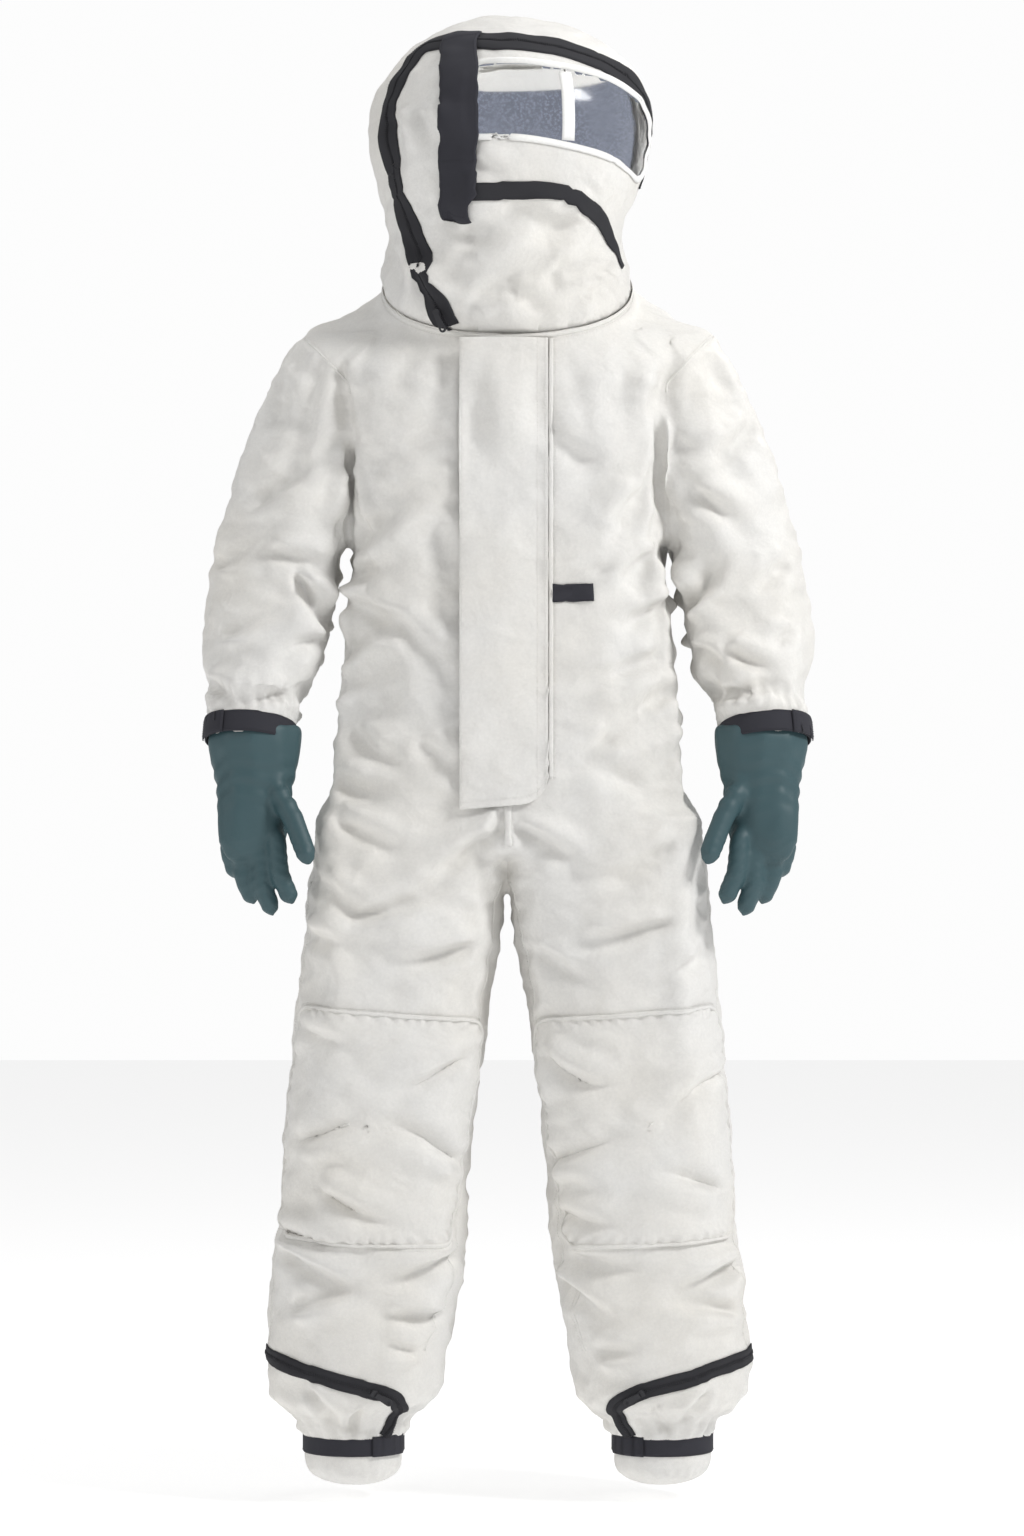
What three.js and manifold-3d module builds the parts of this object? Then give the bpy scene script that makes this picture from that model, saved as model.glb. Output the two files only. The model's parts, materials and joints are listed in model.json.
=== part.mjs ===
// A full-length beekeeping suit: coverall, hood with a clear visor, gloves and ankle zips.
//
// The suit is shaped as it hangs on its wearer. Millimetres, +Z up, -Y is the front, and the
// wearer's right is -X. The origin is the middle of the neck seam's width, level with the place
// where the seam crosses the front, which is where the wearer's neck holds the suit up.
import * as THREE from "three";
import { mergeVertices } from "three/addons/utils/BufferGeometryUtils.js";
import Module from "manifold-3d";

const wasm = await Module();
wasm.setup();

// ---------------------------------------------------------------- driving dimensions
const CLOTH = 4; // thickness of the three-layer ventilated cloth
const SEAM_GAP = 0.7; // clearance between two pieces that are sewn edge to edge
const LIFT = 1.4; // clearance between a surface and what is sewn on it
const TAPE = 1.5; // thickness of zip tape
const WEBBING = 2; // thickness of hook-and-loop webbing
const TAPE_WIDTH = 15; // one half of a zip
const STRAP_WIDTH = 24; // cuff and ankle straps

const CROTCH_Z = -640;
const CHEST_HALF = 196;
const HIP_HALF = 250;
const SHOULDER_HALF = 250;
const BODY_DEPTH = 133; // half the depth of the trunk
const NECK_HALF = 160;
const NECK_DEPTH = 150;
const NECK_TILT = 28; // the neck seam drops towards the front
const NECK_RISE = 50; // height of the seam at the sides

const ELBOW = { x: 296, y: -4, z: -330, radius: 86 };
const CUFF = { x: 314, y: -58, z: -520, radius: 57 };
const ELBOW_BEND = 70; // degrees
const KNEE = { x: 163, z: -985, half: 118, depth: 114 };
const KNEE_BEND = 70; // degrees
const ANKLE = { x: 194, z: -1404, radius: 60 };
const SOCK_DROP = 38; // how far the sock hangs below the leg's end

const HOOD_HALF = 171;
const HOOD_DEPTH = 180;
const HOOD_TOP = 392;
const HOOD_TURN = 25; // the hood looks towards the wearer's left

const FLAP = { left: -58, right: 36, top: -34, bottom: -592, thickness: 3 };
const HEM = { gap: 1, width: 12 }; // the flap's sewn-down edge
const SLIDER = { width: 9, length: 13, height: 3 };
const PULL = { width: 9, length: 24, thickness: 1.5, hole: 2.4 };
const PATCH = { left: 53, right: 105, top: -322, bottom: -346 };

const rad = THREE.MathUtils.degToRad;
const vec = (x, y, z) => new THREE.Vector3(x, y, z);

// ---------------------------------------------------------------- materials
const finish = (color, roughness, metalness = 0, opacity = 1) =>
  new THREE.MeshStandardMaterial({
    color,
    roughness,
    metalness,
    opacity,
    transparent: opacity < 1,
  });
const WHITE_CLOTH = finish(0xe4e2dd, 0.85);
const LINING_MESH = finish(0x8a8f9c, 0.9);
const BLACK_TAPE = finish(0x1c1c20, 0.8);
const BINDING = finish(0xf2f2f0, 0.6);
const CLEAR = finish(0xdfe6ea, 0.08, 0, 0.3);
const GLOVE_LEATHER = finish(0x1f4a4c, 0.5);
const BLACK_ZIP = finish(0x131316, 0.45);

// ---------------------------------------------------------------- solids and booleans
const root = new THREE.Group();

// A closed geometry as a manifold solid.
function solid(geometry) {
  const bare = geometry.clone();
  bare.deleteAttribute("normal");
  bare.deleteAttribute("uv");
  const merged = mergeVertices(bare, 1e-3);
  return new wasm.Manifold(
    new wasm.Mesh({
      numProp: 3,
      vertProperties: merged.attributes.position.array,
      triVerts: new Uint32Array(merged.index.array),
    }),
  );
}

// A manifold solid as a named mesh of the suit.
function add(name, shape, material) {
  const mesh = shape.getMesh();
  const points = new Float32Array(mesh.numVert * 3);
  for (let i = 0; i < mesh.numVert; i++) {
    points.set(mesh.vertProperties.subarray(i * mesh.numProp, i * mesh.numProp + 3), i * 3);
  }
  const geometry = new THREE.BufferGeometry()
    .setAttribute("position", new THREE.BufferAttribute(points, 3))
    .setIndex(new THREE.BufferAttribute(new Uint32Array(mesh.triVerts), 1));
  const made = new THREE.Mesh(geometry, material);
  made.name = name;
  root.add(made);
}

// The separate body of a cut shape that comes nearest to a point.
function bodyAt(shape, point) {
  let best = null;
  let least = Infinity;
  for (const body of shape.decompose()) {
    const { vertProperties: p, numProp, numVert } = body.getMesh();
    for (let i = 0; i < numVert; i++) {
      const at = vec(p[i * numProp], p[i * numProp + 1], p[i * numProp + 2]);
      const away = at.distanceTo(point);
      if (away < least) [least, best] = [away, body];
    }
  }
  return best;
}

const largest = (shape) =>
  shape.decompose().reduce((a, b) => (a.volume() > b.volume() ? a : b));

const mirrored = (shape) => shape.mirror([1, 0, 0]);

// ---------------------------------------------------------------- lofted surfaces
// A smooth value through the knots, at t from 0 to 1.
function spline(knots, t) {
  const at = THREE.MathUtils.clamp(t, 0, 1) * (knots.length - 1);
  const i = Math.min(Math.floor(at), knots.length - 2);
  const [a, b] = [knots[i], knots[i + 1]];
  const slopeA = i > 0 ? (b - knots[i - 1]) / 2 : b - a;
  const slopeB = i < knots.length - 2 ? (knots[i + 2] - a) / 2 : b - a;
  const s = at - i;
  return (
    a * (1 + 2 * s) * (1 - s) ** 2 +
    b * s * s * (3 - 2 * s) +
    slopeA * s * (1 - s) ** 2 +
    slopeB * s * s * (s - 1)
  );
}

const middleOf = (points) =>
  points.reduce((sum, p) => sum.add(p), vec(0, 0, 0)).divideScalar(points.length);

const bow = (value, power) => Math.sign(value) * Math.abs(value) ** (2 / power);

// A tube of cloth through oval sections. u runs up it, and v once round it from the front
// towards the wearer's left. Each section is [x, y, z, half width, half depth, power, tilt about
// X, turn about Z, lean about Y], and what is left out of one is 0.
class Loft {
  constructor(sections) {
    const rising = sections[0][2] < sections.at(-1)[2] ? sections : [...sections].reverse();
    this.rows = Array.from({ length: 9 }, (_, k) => rising.map((section) => section[k] ?? 0));
  }

  point(u, v) {
    const [x, y, z, half, depth, power, tilt, turn, lean] = this.rows.map((row) => spline(row, u));
    const angle = v * 2 * Math.PI;
    return vec(half * bow(Math.sin(angle), power), -depth * bow(Math.cos(angle), power), 0)
      .applyEuler(new THREE.Euler(rad(tilt), rad(lean), rad(turn), "ZYX"))
      .add(vec(x, y, z));
  }

  normal(u, v) {
    const step = 1e-3;
    const [low, high] = [Math.max(u - step, 0), Math.min(u + step, 1)];
    const along = this.point(high, v).sub(this.point(low, v));
    const round = this.point(u, v + step).sub(this.point(u, v - step));
    return round.cross(along).normalize();
  }

  raised(u, v, height) {
    return this.point(u, v).addScaledVector(this.normal(u, v), height);
  }

  // The u and v where the cost of the surface's point is least.
  seek(cost) {
    let best = { u: 0, v: 0, cost: Infinity };
    const trial = (u, v) => {
      const found = cost(this.point(u, v));
      if (found < best.cost) best = { u, v, cost: found };
    };
    for (let i = 0; i <= 40; i++) {
      for (let j = 0; j < 60; j++) trial(i / 40, j / 60);
    }
    for (let step = 1 / 60; step > 1e-5; step /= 2) {
      for (let turn = 0; turn < 3; turn++) {
        const { u, v } = best;
        for (const [du, dv] of [[-1, 0], [1, 0], [0, -1], [0, 1]]) {
          trial(THREE.MathUtils.clamp(u + du * step, 0, 1), v + dv * step);
        }
      }
    }
    return best;
  }

  near(point) {
    return this.seek((p) => p.distanceToSquared(point));
  }

  // The place at a compass angle from the front, in degrees, and a height.
  bearing(degrees, z, reach = 150) {
    return this.seek((p) => {
      const off = Math.atan2(p.x, -p.y) - rad(degrees);
      return (reach * Math.atan2(Math.sin(off), Math.cos(off))) ** 2 + (p.z - z) ** 2;
    });
  }
}

// Cloth of a loft between two heights over the surface, for u and v ranges. A full turn makes a
// tube, whose high or low end can be drawn together to a point.
function shell(loft, { u = [0, 1], v = null, steps, top = 0, bottom = -CLOTH, close = "" }) {
  const [nu, nv] = steps;
  const ring = v === null;
  const [v0, v1] = ring ? [0, 1] : v;
  const across = ring ? nv : nv + 1;
  const points = [];
  for (const height of [top, bottom]) {
    for (let i = 0; i <= nu; i++) {
      for (let j = 0; j < across; j++) {
        const at = u[0] + ((u[1] - u[0]) * i) / nu;
        points.push(loft.raised(at, v0 + ((v1 - v0) * j) / nv, height));
      }
    }
  }
  const index = [];
  const layer = (nu + 1) * across;
  const id = (side, i, j) => side * layer + i * across + (j % across);
  const quad = (a, b, c, d) => index.push(a, b, c, a, c, d);
  for (let i = 0; i < nu; i++) {
    for (let j = 0; j < nv; j++) {
      quad(id(0, i, j), id(0, i, j + 1), id(0, i + 1, j + 1), id(0, i + 1, j));
      quad(id(1, i, j), id(1, i + 1, j), id(1, i + 1, j + 1), id(1, i, j + 1));
    }
  }
  for (let j = 0; j < nv; j++) {
    if (close !== "low") quad(id(0, 0, j), id(1, 0, j), id(1, 0, j + 1), id(0, 0, j + 1));
    if (close !== "high") quad(id(0, nu, j), id(0, nu, j + 1), id(1, nu, j + 1), id(1, nu, j));
  }
  if (!ring) {
    for (let i = 0; i < nu; i++) {
      quad(id(0, i, 0), id(0, i + 1, 0), id(1, i + 1, 0), id(1, i, 0));
      quad(id(0, i, nv), id(1, i, nv), id(1, i + 1, nv), id(0, i + 1, nv));
    }
  }
  if (close) {
    const row = close === "high" ? nu : 0;
    for (const side of [0, 1]) {
      const centre = points.push(middleOf(points.slice(id(side, row, 0), id(side, row, 0) + nv))) - 1;
      for (let j = 0; j < nv; j++) {
        const edge = [id(side, row, j), id(side, row, j + 1)];
        if ((side === 0) !== (close === "high")) edge.reverse();
        index.push(...edge, centre);
      }
    }
  }
  return solid(new THREE.BufferGeometry().setFromPoints(points).setIndex(index));
}

// Everything inside a loft, grown by a clearance, as one solid to cut with.
function filled(loft, grow, steps, u = [0, 1]) {
  const [nu, nv] = steps;
  const points = [];
  for (let i = 0; i <= nu; i++) {
    for (let j = 0; j < nv; j++) {
      points.push(loft.raised(u[0] + ((u[1] - u[0]) * i) / nu, j / nv, grow));
    }
  }
  const index = [];
  const id = (i, j) => i * nv + (j % nv);
  for (let i = 0; i < nu; i++) {
    for (let j = 0; j < nv; j++) {
      index.push(id(i, j), id(i, j + 1), id(i + 1, j + 1));
      index.push(id(i, j), id(i + 1, j + 1), id(i + 1, j));
    }
  }
  for (const row of [0, nu]) {
    const centre = points.push(middleOf(points.slice(id(row, 0), id(row, 0) + nv))) - 1;
    for (let j = 0; j < nv; j++) {
      const edge = [id(row, j), id(row, j + 1)];
      if (row === 0) edge.reverse();
      index.push(...edge, centre);
    }
  }
  return solid(new THREE.BufferGeometry().setFromPoints(points).setIndex(index));
}

// Places on a loft along a smooth line through guide places, evenly spaced.
function route(loft, guides, spacing = 14, closed = false) {
  const knots = guides.map(({ u, v }) => loft.point(u, v));
  const curve = new THREE.CatmullRomCurve3(knots, closed, "centripetal");
  const count = Math.max(3, Math.round(curve.getLength() / spacing));
  const points = curve.getSpacedPoints(count);
  if (closed) points.pop();
  return points.map((p) => loft.near(p));
}

// A strip that lies on a loft along a route: webbing, tape, or a thin wall to cut with.
function strip(loft, places, { width, top, bottom, closed = false, across = 2 }) {
  const middles = places.map(({ u, v }) => loft.point(u, v));
  const count = places.length;
  const points = [];
  places.forEach(({ u, v }, i) => {
    const before = middles[closed ? (i + count - 1) % count : Math.max(i - 1, 0)];
    const after = middles[closed ? (i + 1) % count : Math.min(i + 1, count - 1)];
    const normal = loft.normal(u, v);
    const side = after.clone().sub(before).cross(normal).normalize();
    for (let k = 0; k <= across; k++) {
      const shift = width * (k / across - 0.5);
      const near = middles[i].clone().addScaledVector(side, shift);
      const place = width > 4 ? loft.near(near) : null;
      const base = place ? loft.point(place.u, place.v) : near;
      const up = place ? loft.normal(place.u, place.v) : normal;
      points.push(base.clone().addScaledVector(up, top));
      points.push(base.clone().addScaledVector(up, bottom));
    }
  });
  const row = 2 * (across + 1);
  const id = (i, k, side) => (i % count) * row + 2 * k + side;
  const index = [];
  const quad = (a, b, c, d) => index.push(a, c, b, a, d, c);
  const spans = closed ? count : count - 1;
  for (let i = 0; i < spans; i++) {
    for (let k = 0; k < across; k++) {
      quad(id(i, k, 0), id(i + 1, k, 0), id(i + 1, k + 1, 0), id(i, k + 1, 0));
      quad(id(i, k, 1), id(i, k + 1, 1), id(i + 1, k + 1, 1), id(i + 1, k, 1));
    }
    quad(id(i, 0, 0), id(i, 0, 1), id(i + 1, 0, 1), id(i + 1, 0, 0));
    quad(id(i, across, 0), id(i + 1, across, 0), id(i + 1, across, 1), id(i, across, 1));
  }
  if (!closed) {
    for (let k = 0; k < across; k++) {
      quad(id(0, k, 0), id(0, k + 1, 0), id(0, k + 1, 1), id(0, k, 1));
      const end = count - 1;
      quad(id(end, k, 0), id(end, k, 1), id(end, k + 1, 1), id(end, k + 1, 0));
    }
  }
  return solid(new THREE.BufferGeometry().setFromPoints(points).setIndex(index));
}

// The same route moved sideways over the surface, towards its right as it is seen from outside.
function beside(loft, places, shift) {
  const middles = places.map(({ u, v }) => loft.point(u, v));
  return places.map(({ u, v }, i) => {
    const before = middles[Math.max(i - 1, 0)];
    const after = middles[Math.min(i + 1, places.length - 1)];
    const side = after.clone().sub(before).cross(loft.normal(u, v)).normalize();
    return loft.near(middles[i].clone().addScaledVector(side, shift));
  });
}

// A box between two corners.
function block(low, high) {
  const size = high.clone().sub(low);
  const geometry = new THREE.BoxGeometry(size.x, size.y, size.z);
  const middle = low.clone().add(high).multiplyScalar(0.5);
  return solid(geometry.translate(middle.x, middle.y, middle.z));
}

// ---------------------------------------------------------------- the coverall's surfaces
const trunk = new Loft([
  [0, 0, CROTCH_Z, HIP_HALF, BODY_DEPTH, 2.5],
  [0, 0, -540, 238, BODY_DEPTH, 2.5],
  [0, 0, -440, 222, BODY_DEPTH, 2.5],
  [0, 0, -340, 202, BODY_DEPTH, 2.5],
  [0, 0, -230, CHEST_HALF, BODY_DEPTH, 2.5],
  [0, 0, -120, 214, BODY_DEPTH, 2.5, 4],
  [0, 0, -32, SHOULDER_HALF, (BODY_DEPTH + NECK_DEPTH - 17) / 2, 2.4, 11],
  [0, 0, 16, 222, NECK_DEPTH - 11, 2.3, 19],
  [0, 0, NECK_RISE, NECK_HALF, NECK_DEPTH, 2.2, NECK_TILT],
]);

const sleeve = new Loft([
  [150, 6, 2, 44, 58, 2.1, 0, 0, -40],
  [184, 6, -26, 80, 86, 2.1, 0, 0, -30],
  [226, 6, -104, 89, 88, 2.1, 0, 0, -24],
  [260, 6, -184, 87, 86, 2.1, 0, 0, -20],
  [283, 4, -260, ELBOW.radius, 84, 2.1, 0, 0, -14],
  [ELBOW.x, ELBOW.y, ELBOW.z, ELBOW.radius, 82, 2.1, -4, 0, -8],
  [304, -20, -395, 80, 76, 2.1, -10, 0, -6],
  [310, -40, -458, 70, 68, 2.1, -15, 0, -4],
  [CUFF.x, CUFF.y, CUFF.z, CUFF.radius, CUFF.radius, 2, -16, 0, -4],
]);

const leg = new Loft([
  [126, 0, CROTCH_Z - SEAM_GAP, 125, BODY_DEPTH, 3.6],
  [134, 0, -700, 127, 130, 3],
  [142, 0, -770, 125, 126, 2.5],
  [153, 0, -860, 121, 120, 2.3],
  [KNEE.x, 0, KNEE.z, KNEE.half, KNEE.depth, 2.3],
  [167, 0, -1075, 118, 112, 2.3],
  [174, 0, -1160, 119, 112, 2.2],
  [186, 2, -1250, 115, 110, 2.1],
  [191, 0, -1310, 114, 108, 2],
  [190, 0, -1356, 93, 90, 2],
  [ANKLE.x, 0, ANKLE.z, ANKLE.radius, ANKLE.radius, 2],
]);

const SOCK_RADIUS = ANKLE.radius - CLOTH - SEAM_GAP - 3;
const sock = new Loft([
  [ANKLE.x, 0, ANKLE.z + 24, SOCK_RADIUS, SOCK_RADIUS, 2],
  [ANKLE.x, 0, ANKLE.z + 4, SOCK_RADIUS, SOCK_RADIUS, 2],
  [ANKLE.x - 1, 0, ANKLE.z - SOCK_DROP * 0.45, SOCK_RADIUS, SOCK_RADIUS, 2],
  [ANKLE.x - 2, 0, ANKLE.z - SOCK_DROP * 0.8, SOCK_RADIUS * 0.85, SOCK_RADIUS * 0.85, 2],
  [ANKLE.x - 3, 0, ANKLE.z - SOCK_DROP, SOCK_RADIUS * 0.4, SOCK_RADIUS * 0.4, 2],
]);

const hood = new Loft([
  [0, 0, NECK_RISE + SEAM_GAP, NECK_HALF, NECK_DEPTH, 2.2, NECK_TILT],
  [-2, 0, 88, 153, 150, 2.2, 22, 6],
  [-6, -2, 126, 144, 150, 2.2, 14, 14],
  [-3, -4, 170, 158, 167, 2.2, 8, 21],
  [0, -4, 215, HOOD_HALF - 1, HOOD_DEPTH - 3, 2.2, 4, HOOD_TURN],
  [1, -3, 262, HOOD_HALF, HOOD_DEPTH, 2.2, 0, HOOD_TURN],
  [1, 2, 306, 160, 168, 2.2, -2, HOOD_TURN],
  [0, 9, 346, 126, 134, 2.1, -2, HOOD_TURN],
  [0, 14, 374, 80, 88, 2, 0, HOOD_TURN],
  [0, 16, HOOD_TOP - 4, 34, 38, 2, 0, HOOD_TURN],
]);

// ---------------------------------------------------------------- trunk panels
const TRUNK_STEPS = [9, 8];
const SLEEVE_STEPS = [11, 12];
const SIDE_SEAM = 0.28; // share of a turn from the front to the side seam
const seamShare = SEAM_GAP / (4 * Math.PI * BODY_DEPTH);
const sleeveHole = filled(sleeve, 2 * SEAM_GAP, SLEEVE_STEPS);
const sleeveHoles = sleeveHole.add(mirrored(sleeveHole));

const trunkPanel = (from, to) =>
  shell(trunk, { v: [from + seamShare, to - seamShare], steps: TRUNK_STEPS }).subtract(sleeveHoles);
add("front_panel_left", largest(trunkPanel(0, SIDE_SEAM)), WHITE_CLOTH);
add("front_panel_right", largest(trunkPanel(-SIDE_SEAM, 0)), WHITE_CLOTH);
add("back_panel", largest(trunkPanel(SIDE_SEAM, 1 - SIDE_SEAM)), WHITE_CLOTH);

// ---------------------------------------------------------------- sleeves, split at the elbow
// A wedge that opens from a hinge line, to let a joint bend. It opens to the front or the back.
function bendWedge({ x, y, z }, towards, degrees, reach = 220) {
  const rise = reach * Math.tan(rad(degrees / 2));
  const outline = new THREE.Shape([
    new THREE.Vector2(0, SEAM_GAP),
    new THREE.Vector2(reach, rise + SEAM_GAP),
    new THREE.Vector2(reach, -rise - SEAM_GAP),
    new THREE.Vector2(0, -SEAM_GAP),
    new THREE.Vector2(-reach, -SEAM_GAP),
    new THREE.Vector2(-reach, SEAM_GAP),
  ]);
  const geometry = new THREE.ExtrudeGeometry(outline, { depth: 2 * reach, bevelEnabled: false });
  geometry.translate(0, 0, -reach).rotateX(Math.PI / 2).rotateZ((towards * Math.PI) / 2);
  return solid(geometry.translate(x, y, z));
}

const ELBOW_HINGE = { x: ELBOW.x, y: ELBOW.y - ELBOW.radius / 2, z: ELBOW.z };
const trunkSolid = filled(trunk, SEAM_GAP, [16, 56]);
const sleeveTube = shell(sleeve, { steps: SLEEVE_STEPS })
  .subtract(trunkSolid)
  .subtract(bendWedge(ELBOW_HINGE, -1, ELBOW_BEND));
const upperSleeve = bodyAt(sleeveTube, vec(ELBOW.x + ELBOW.radius, 0, ELBOW.z + 60));
const lowerSleeve = bodyAt(sleeveTube, vec(ELBOW.x + ELBOW.radius, 0, ELBOW.z - 60));

// ---------------------------------------------------------------- cuffs and gloves
const cuffU = (share) => share / (sleeve.rows[0].length - 1);
const cuffRoute = (loft, u, from, to, count) =>
  Array.from({ length: count }, (_, i) => ({ u, v: from + ((to - from) * i) / (count - 1) }));
const CUFF_TAB = [0.1, 0.24]; // share of a turn that the strap's free end covers
const cuffMiddle = cuffU(0.22);
const cuffBand = { width: STRAP_WIDTH, top: LIFT + WEBBING, bottom: LIFT };
const cuffStrap = strip(sleeve, cuffRoute(sleeve, cuffMiddle, 0, 1, 17).slice(0, 16), {
  ...cuffBand,
  closed: true,
});
const tabBand = { width: STRAP_WIDTH - 1, top: 2 * (LIFT + WEBBING), bottom: 2 * LIFT + WEBBING };
const cuffTab = strip(sleeve, cuffRoute(sleeve, cuffMiddle, -CUFF_TAB[1], -CUFF_TAB[0], 6), tabBand);

const HAND_GAP = 3.2; // between the sleeve's end and the glove inside it
const GLOVE_WALL = 2.5;
const handSections = [
  [CUFF.x - 3, CUFF.y + 8, CUFF.z + 32, CUFF.radius - CLOTH - HAND_GAP - 1, 48, 2, -16],
  [CUFF.x, CUFF.y, CUFF.z, CUFF.radius - CLOTH - HAND_GAP, 49, 2, -16],
  [CUFF.x, CUFF.y - 9, CUFF.z - 32, 48, 40, 2, -14],
  [CUFF.x - 1, CUFF.y - 18, CUFF.z - 62, 45, 30, 2, -12, -14],
  [CUFF.x, CUFF.y - 24, CUFF.z - 96, 45, 24, 2.1, -10, -18],
  [CUFF.x + 2, CUFF.y - 28, CUFF.z - 124, 42, 19, 2.1, -8, -20],
  [CUFF.x + 3, CUFF.y - 30, CUFF.z - 142, 30, 11, 2, -8, -20],
];

// Fingers as rows of [x, y, z] from the knuckle to the tip, with their radius.
const FINGERS = {
  index: { radius: 12.5, joints: [[286, -96, -632], [281, -101, -678], [268, -98, -708]] },
  middle: { radius: 12.5, joints: [[306, -88, -640], [303, -92, -690], [292, -87, -722]] },
  ring: { radius: 12, joints: [[325, -80, -636], [327, -82, -682], [316, -76, -709]] },
  little: { radius: 11, joints: [[342, -72, -622], [346, -71, -652], [339, -65, -677]] },
  thumb: { radius: 13.5, joints: [[288, -92, -572], [264, -108, -616], [246, -121, -658]] },
};

// A rounded rod between two points.
function rod(from, to, radius) {
  const span = to.clone().sub(from);
  const geometry = new THREE.CapsuleGeometry(radius, span.length(), 1, 6);
  const turn = new THREE.Quaternion().setFromUnitVectors(vec(0, 1, 0), span.normalize());
  const middle = from.clone().add(to).multiplyScalar(0.5);
  return solid(geometry.applyQuaternion(turn).translate(middle.x, middle.y, middle.z));
}

function finger({ radius, joints }) {
  const [a, b, c] = joints.map(([x, y, z]) => vec(x, y, z));
  return rod(a, b, radius).add(rod(b, c, radius));
}

const gloveMouth = block(
  vec(CUFF.x - 90, CUFF.y - 90, CUFF.z + 24),
  vec(CUFF.x + 90, CUFF.y + 90, CUFF.z + 80),
);
const hand = new Loft(handSections);
const HAND_STEPS = [5, 10];
const glove = largest(
  Object.values(FINGERS)
    .reduce((all, each) => all.add(finger(each)), filled(hand, 0, HAND_STEPS))
    .subtract(filled(hand, -GLOVE_WALL, HAND_STEPS))
    .subtract(gloveMouth),
);

// ---------------------------------------------------------------- legs, split at the knee
const KNEE_HINGE = { x: KNEE.x, y: -6, z: KNEE.z };
const legTube = shell(leg, { steps: [11, 14] }).subtract(bendWedge(KNEE_HINGE, 1, KNEE_BEND));
const thigh = bodyAt(legTube, vec(KNEE.x, -KNEE.depth, KNEE.z + 60));
const shin = bodyAt(legTube, vec(KNEE.x, -KNEE.depth, KNEE.z - 60));

const KNEE_PATCH = { top: -834, bottom: -1132, inner: -0.19, outer: 0.22, lift: 3 };
const kneeU = (z) => leg.seek((p) => (p.z - z) ** 2 + (p.x - KNEE.x) ** 2 + (p.y + 110) ** 2).u;
const kneePatch = shell(leg, {
  u: [kneeU(KNEE_PATCH.bottom), kneeU(KNEE_PATCH.top)],
  v: [KNEE_PATCH.inner, KNEE_PATCH.outer],
  steps: [6, 9],
  top: KNEE_PATCH.lift + 2,
  bottom: KNEE_PATCH.lift,
});

// ---------------------------------------------------------------- ankles
const ankleU = (z) =>
  leg.seek((p) => (p.z - z) ** 2 + (p.y + ANKLE.radius) ** 2 + (p.x - ANKLE.x) ** 2).u;
const strapU = ankleU(ANKLE.z + 11);
const ankleStrap = strip(leg, cuffRoute(leg, strapU, 0, 1, 17).slice(0, 16), {
  ...cuffBand,
  width: STRAP_WIDTH - 2,
  closed: true,
});
const ankleTab = strip(leg, cuffRoute(leg, strapU, -0.2, -0.07, 6), {
  ...tabBand,
  width: STRAP_WIDTH - 3,
});
const sockShell = shell(sock, { steps: [4, 10], bottom: -GLOVE_WALL, close: "low" });

// The ankle zip runs across the front from the outer side, turns, and drops to the strap.
const ankleGuides = [
  vec(300, -16, -1276),
  vec(266, -84, -1288),
  vec(218, -106, -1301),
  vec(165, -100, -1315),
  vec(134, -72, -1333),
  vec(137, -58, -1356),
  vec(153, -50, -1378),
].map((p) => leg.near(p));
const ankleRoute = route(leg, ankleGuides, 16);
const ankleTape = strip(leg, ankleRoute, {
  width: 20,
  top: LIFT + TAPE,
  bottom: LIFT,
});

// ---------------------------------------------------------------- zip sliders and pulls
// A slider's body, in its own frame: it lies on +Z and its pull hangs towards -Y.
function sliderBody() {
  const { width, length, height } = SLIDER;
  const outline = new THREE.Shape()
    .moveTo(-width * 0.3, -length / 2)
    .lineTo(width * 0.3, -length / 2)
    .lineTo(width / 2, length * 0.3)
    .quadraticCurveTo(width / 2, length / 2, 0, length / 2)
    .quadraticCurveTo(-width / 2, length / 2, -width / 2, length * 0.3)
    .closePath();
  const options = { depth: height, bevelEnabled: false, curveSegments: 4 };
  return new THREE.ExtrudeGeometry(outline, options);
}

function pullTab() {
  const { width, length, thickness, hole } = PULL;
  const half = width / 2;
  const outline = new THREE.Shape()
    .moveTo(-half * 0.7, 0)
    .lineTo(half * 0.7, 0)
    .lineTo(half, -length + half)
    .absarc(0, -length + half, half, 0, -Math.PI, true)
    .closePath();
  outline.holes.push(new THREE.Path().absarc(0, -length + half + 0.5, hole, 0, 2 * Math.PI));
  const options = { depth: thickness, bevelEnabled: false, curveSegments: 6 };
  return new THREE.ExtrudeGeometry(outline, options);
}

// Sets a geometry on a loft at a place, with its -Y along a direction over the surface.
function seat(geometry, loft, { u, v }, towards, height) {
  const up = loft.normal(u, v);
  const back = towards.clone().negate();
  back.addScaledVector(up, -back.dot(up)).normalize();
  const side = back.clone().cross(up);
  const at = loft.raised(u, v, height);
  const matrix = new THREE.Matrix4().makeBasis(side, back, up).setPosition(at);
  return geometry.clone().applyMatrix4(matrix);
}

const sliderLift = LIFT + TAPE + 0.6;
const pullLift = sliderLift + SLIDER.height + 0.5;
const RUN_CLEAR = 3.2; // extra height where a slider's straight run leaves a curved tape

function zipSlider(name, loft, place, towards, { side = "", lift = 0, flip = false, up = 0 }) {
  const body = solid(seat(sliderBody(), loft, place, towards, sliderLift + lift).translate(0, 0, up));
  const pull = solid(seat(pullTab(), loft, place, towards, pullLift + lift).translate(0, 0, up));
  const turn = flip ? mirrored : (shape) => shape;
  add(`${name}_slider${side}`, turn(body), BLACK_ZIP);
  add(`${name}_pull${side}`, turn(pull), BLACK_ZIP);
}

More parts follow.
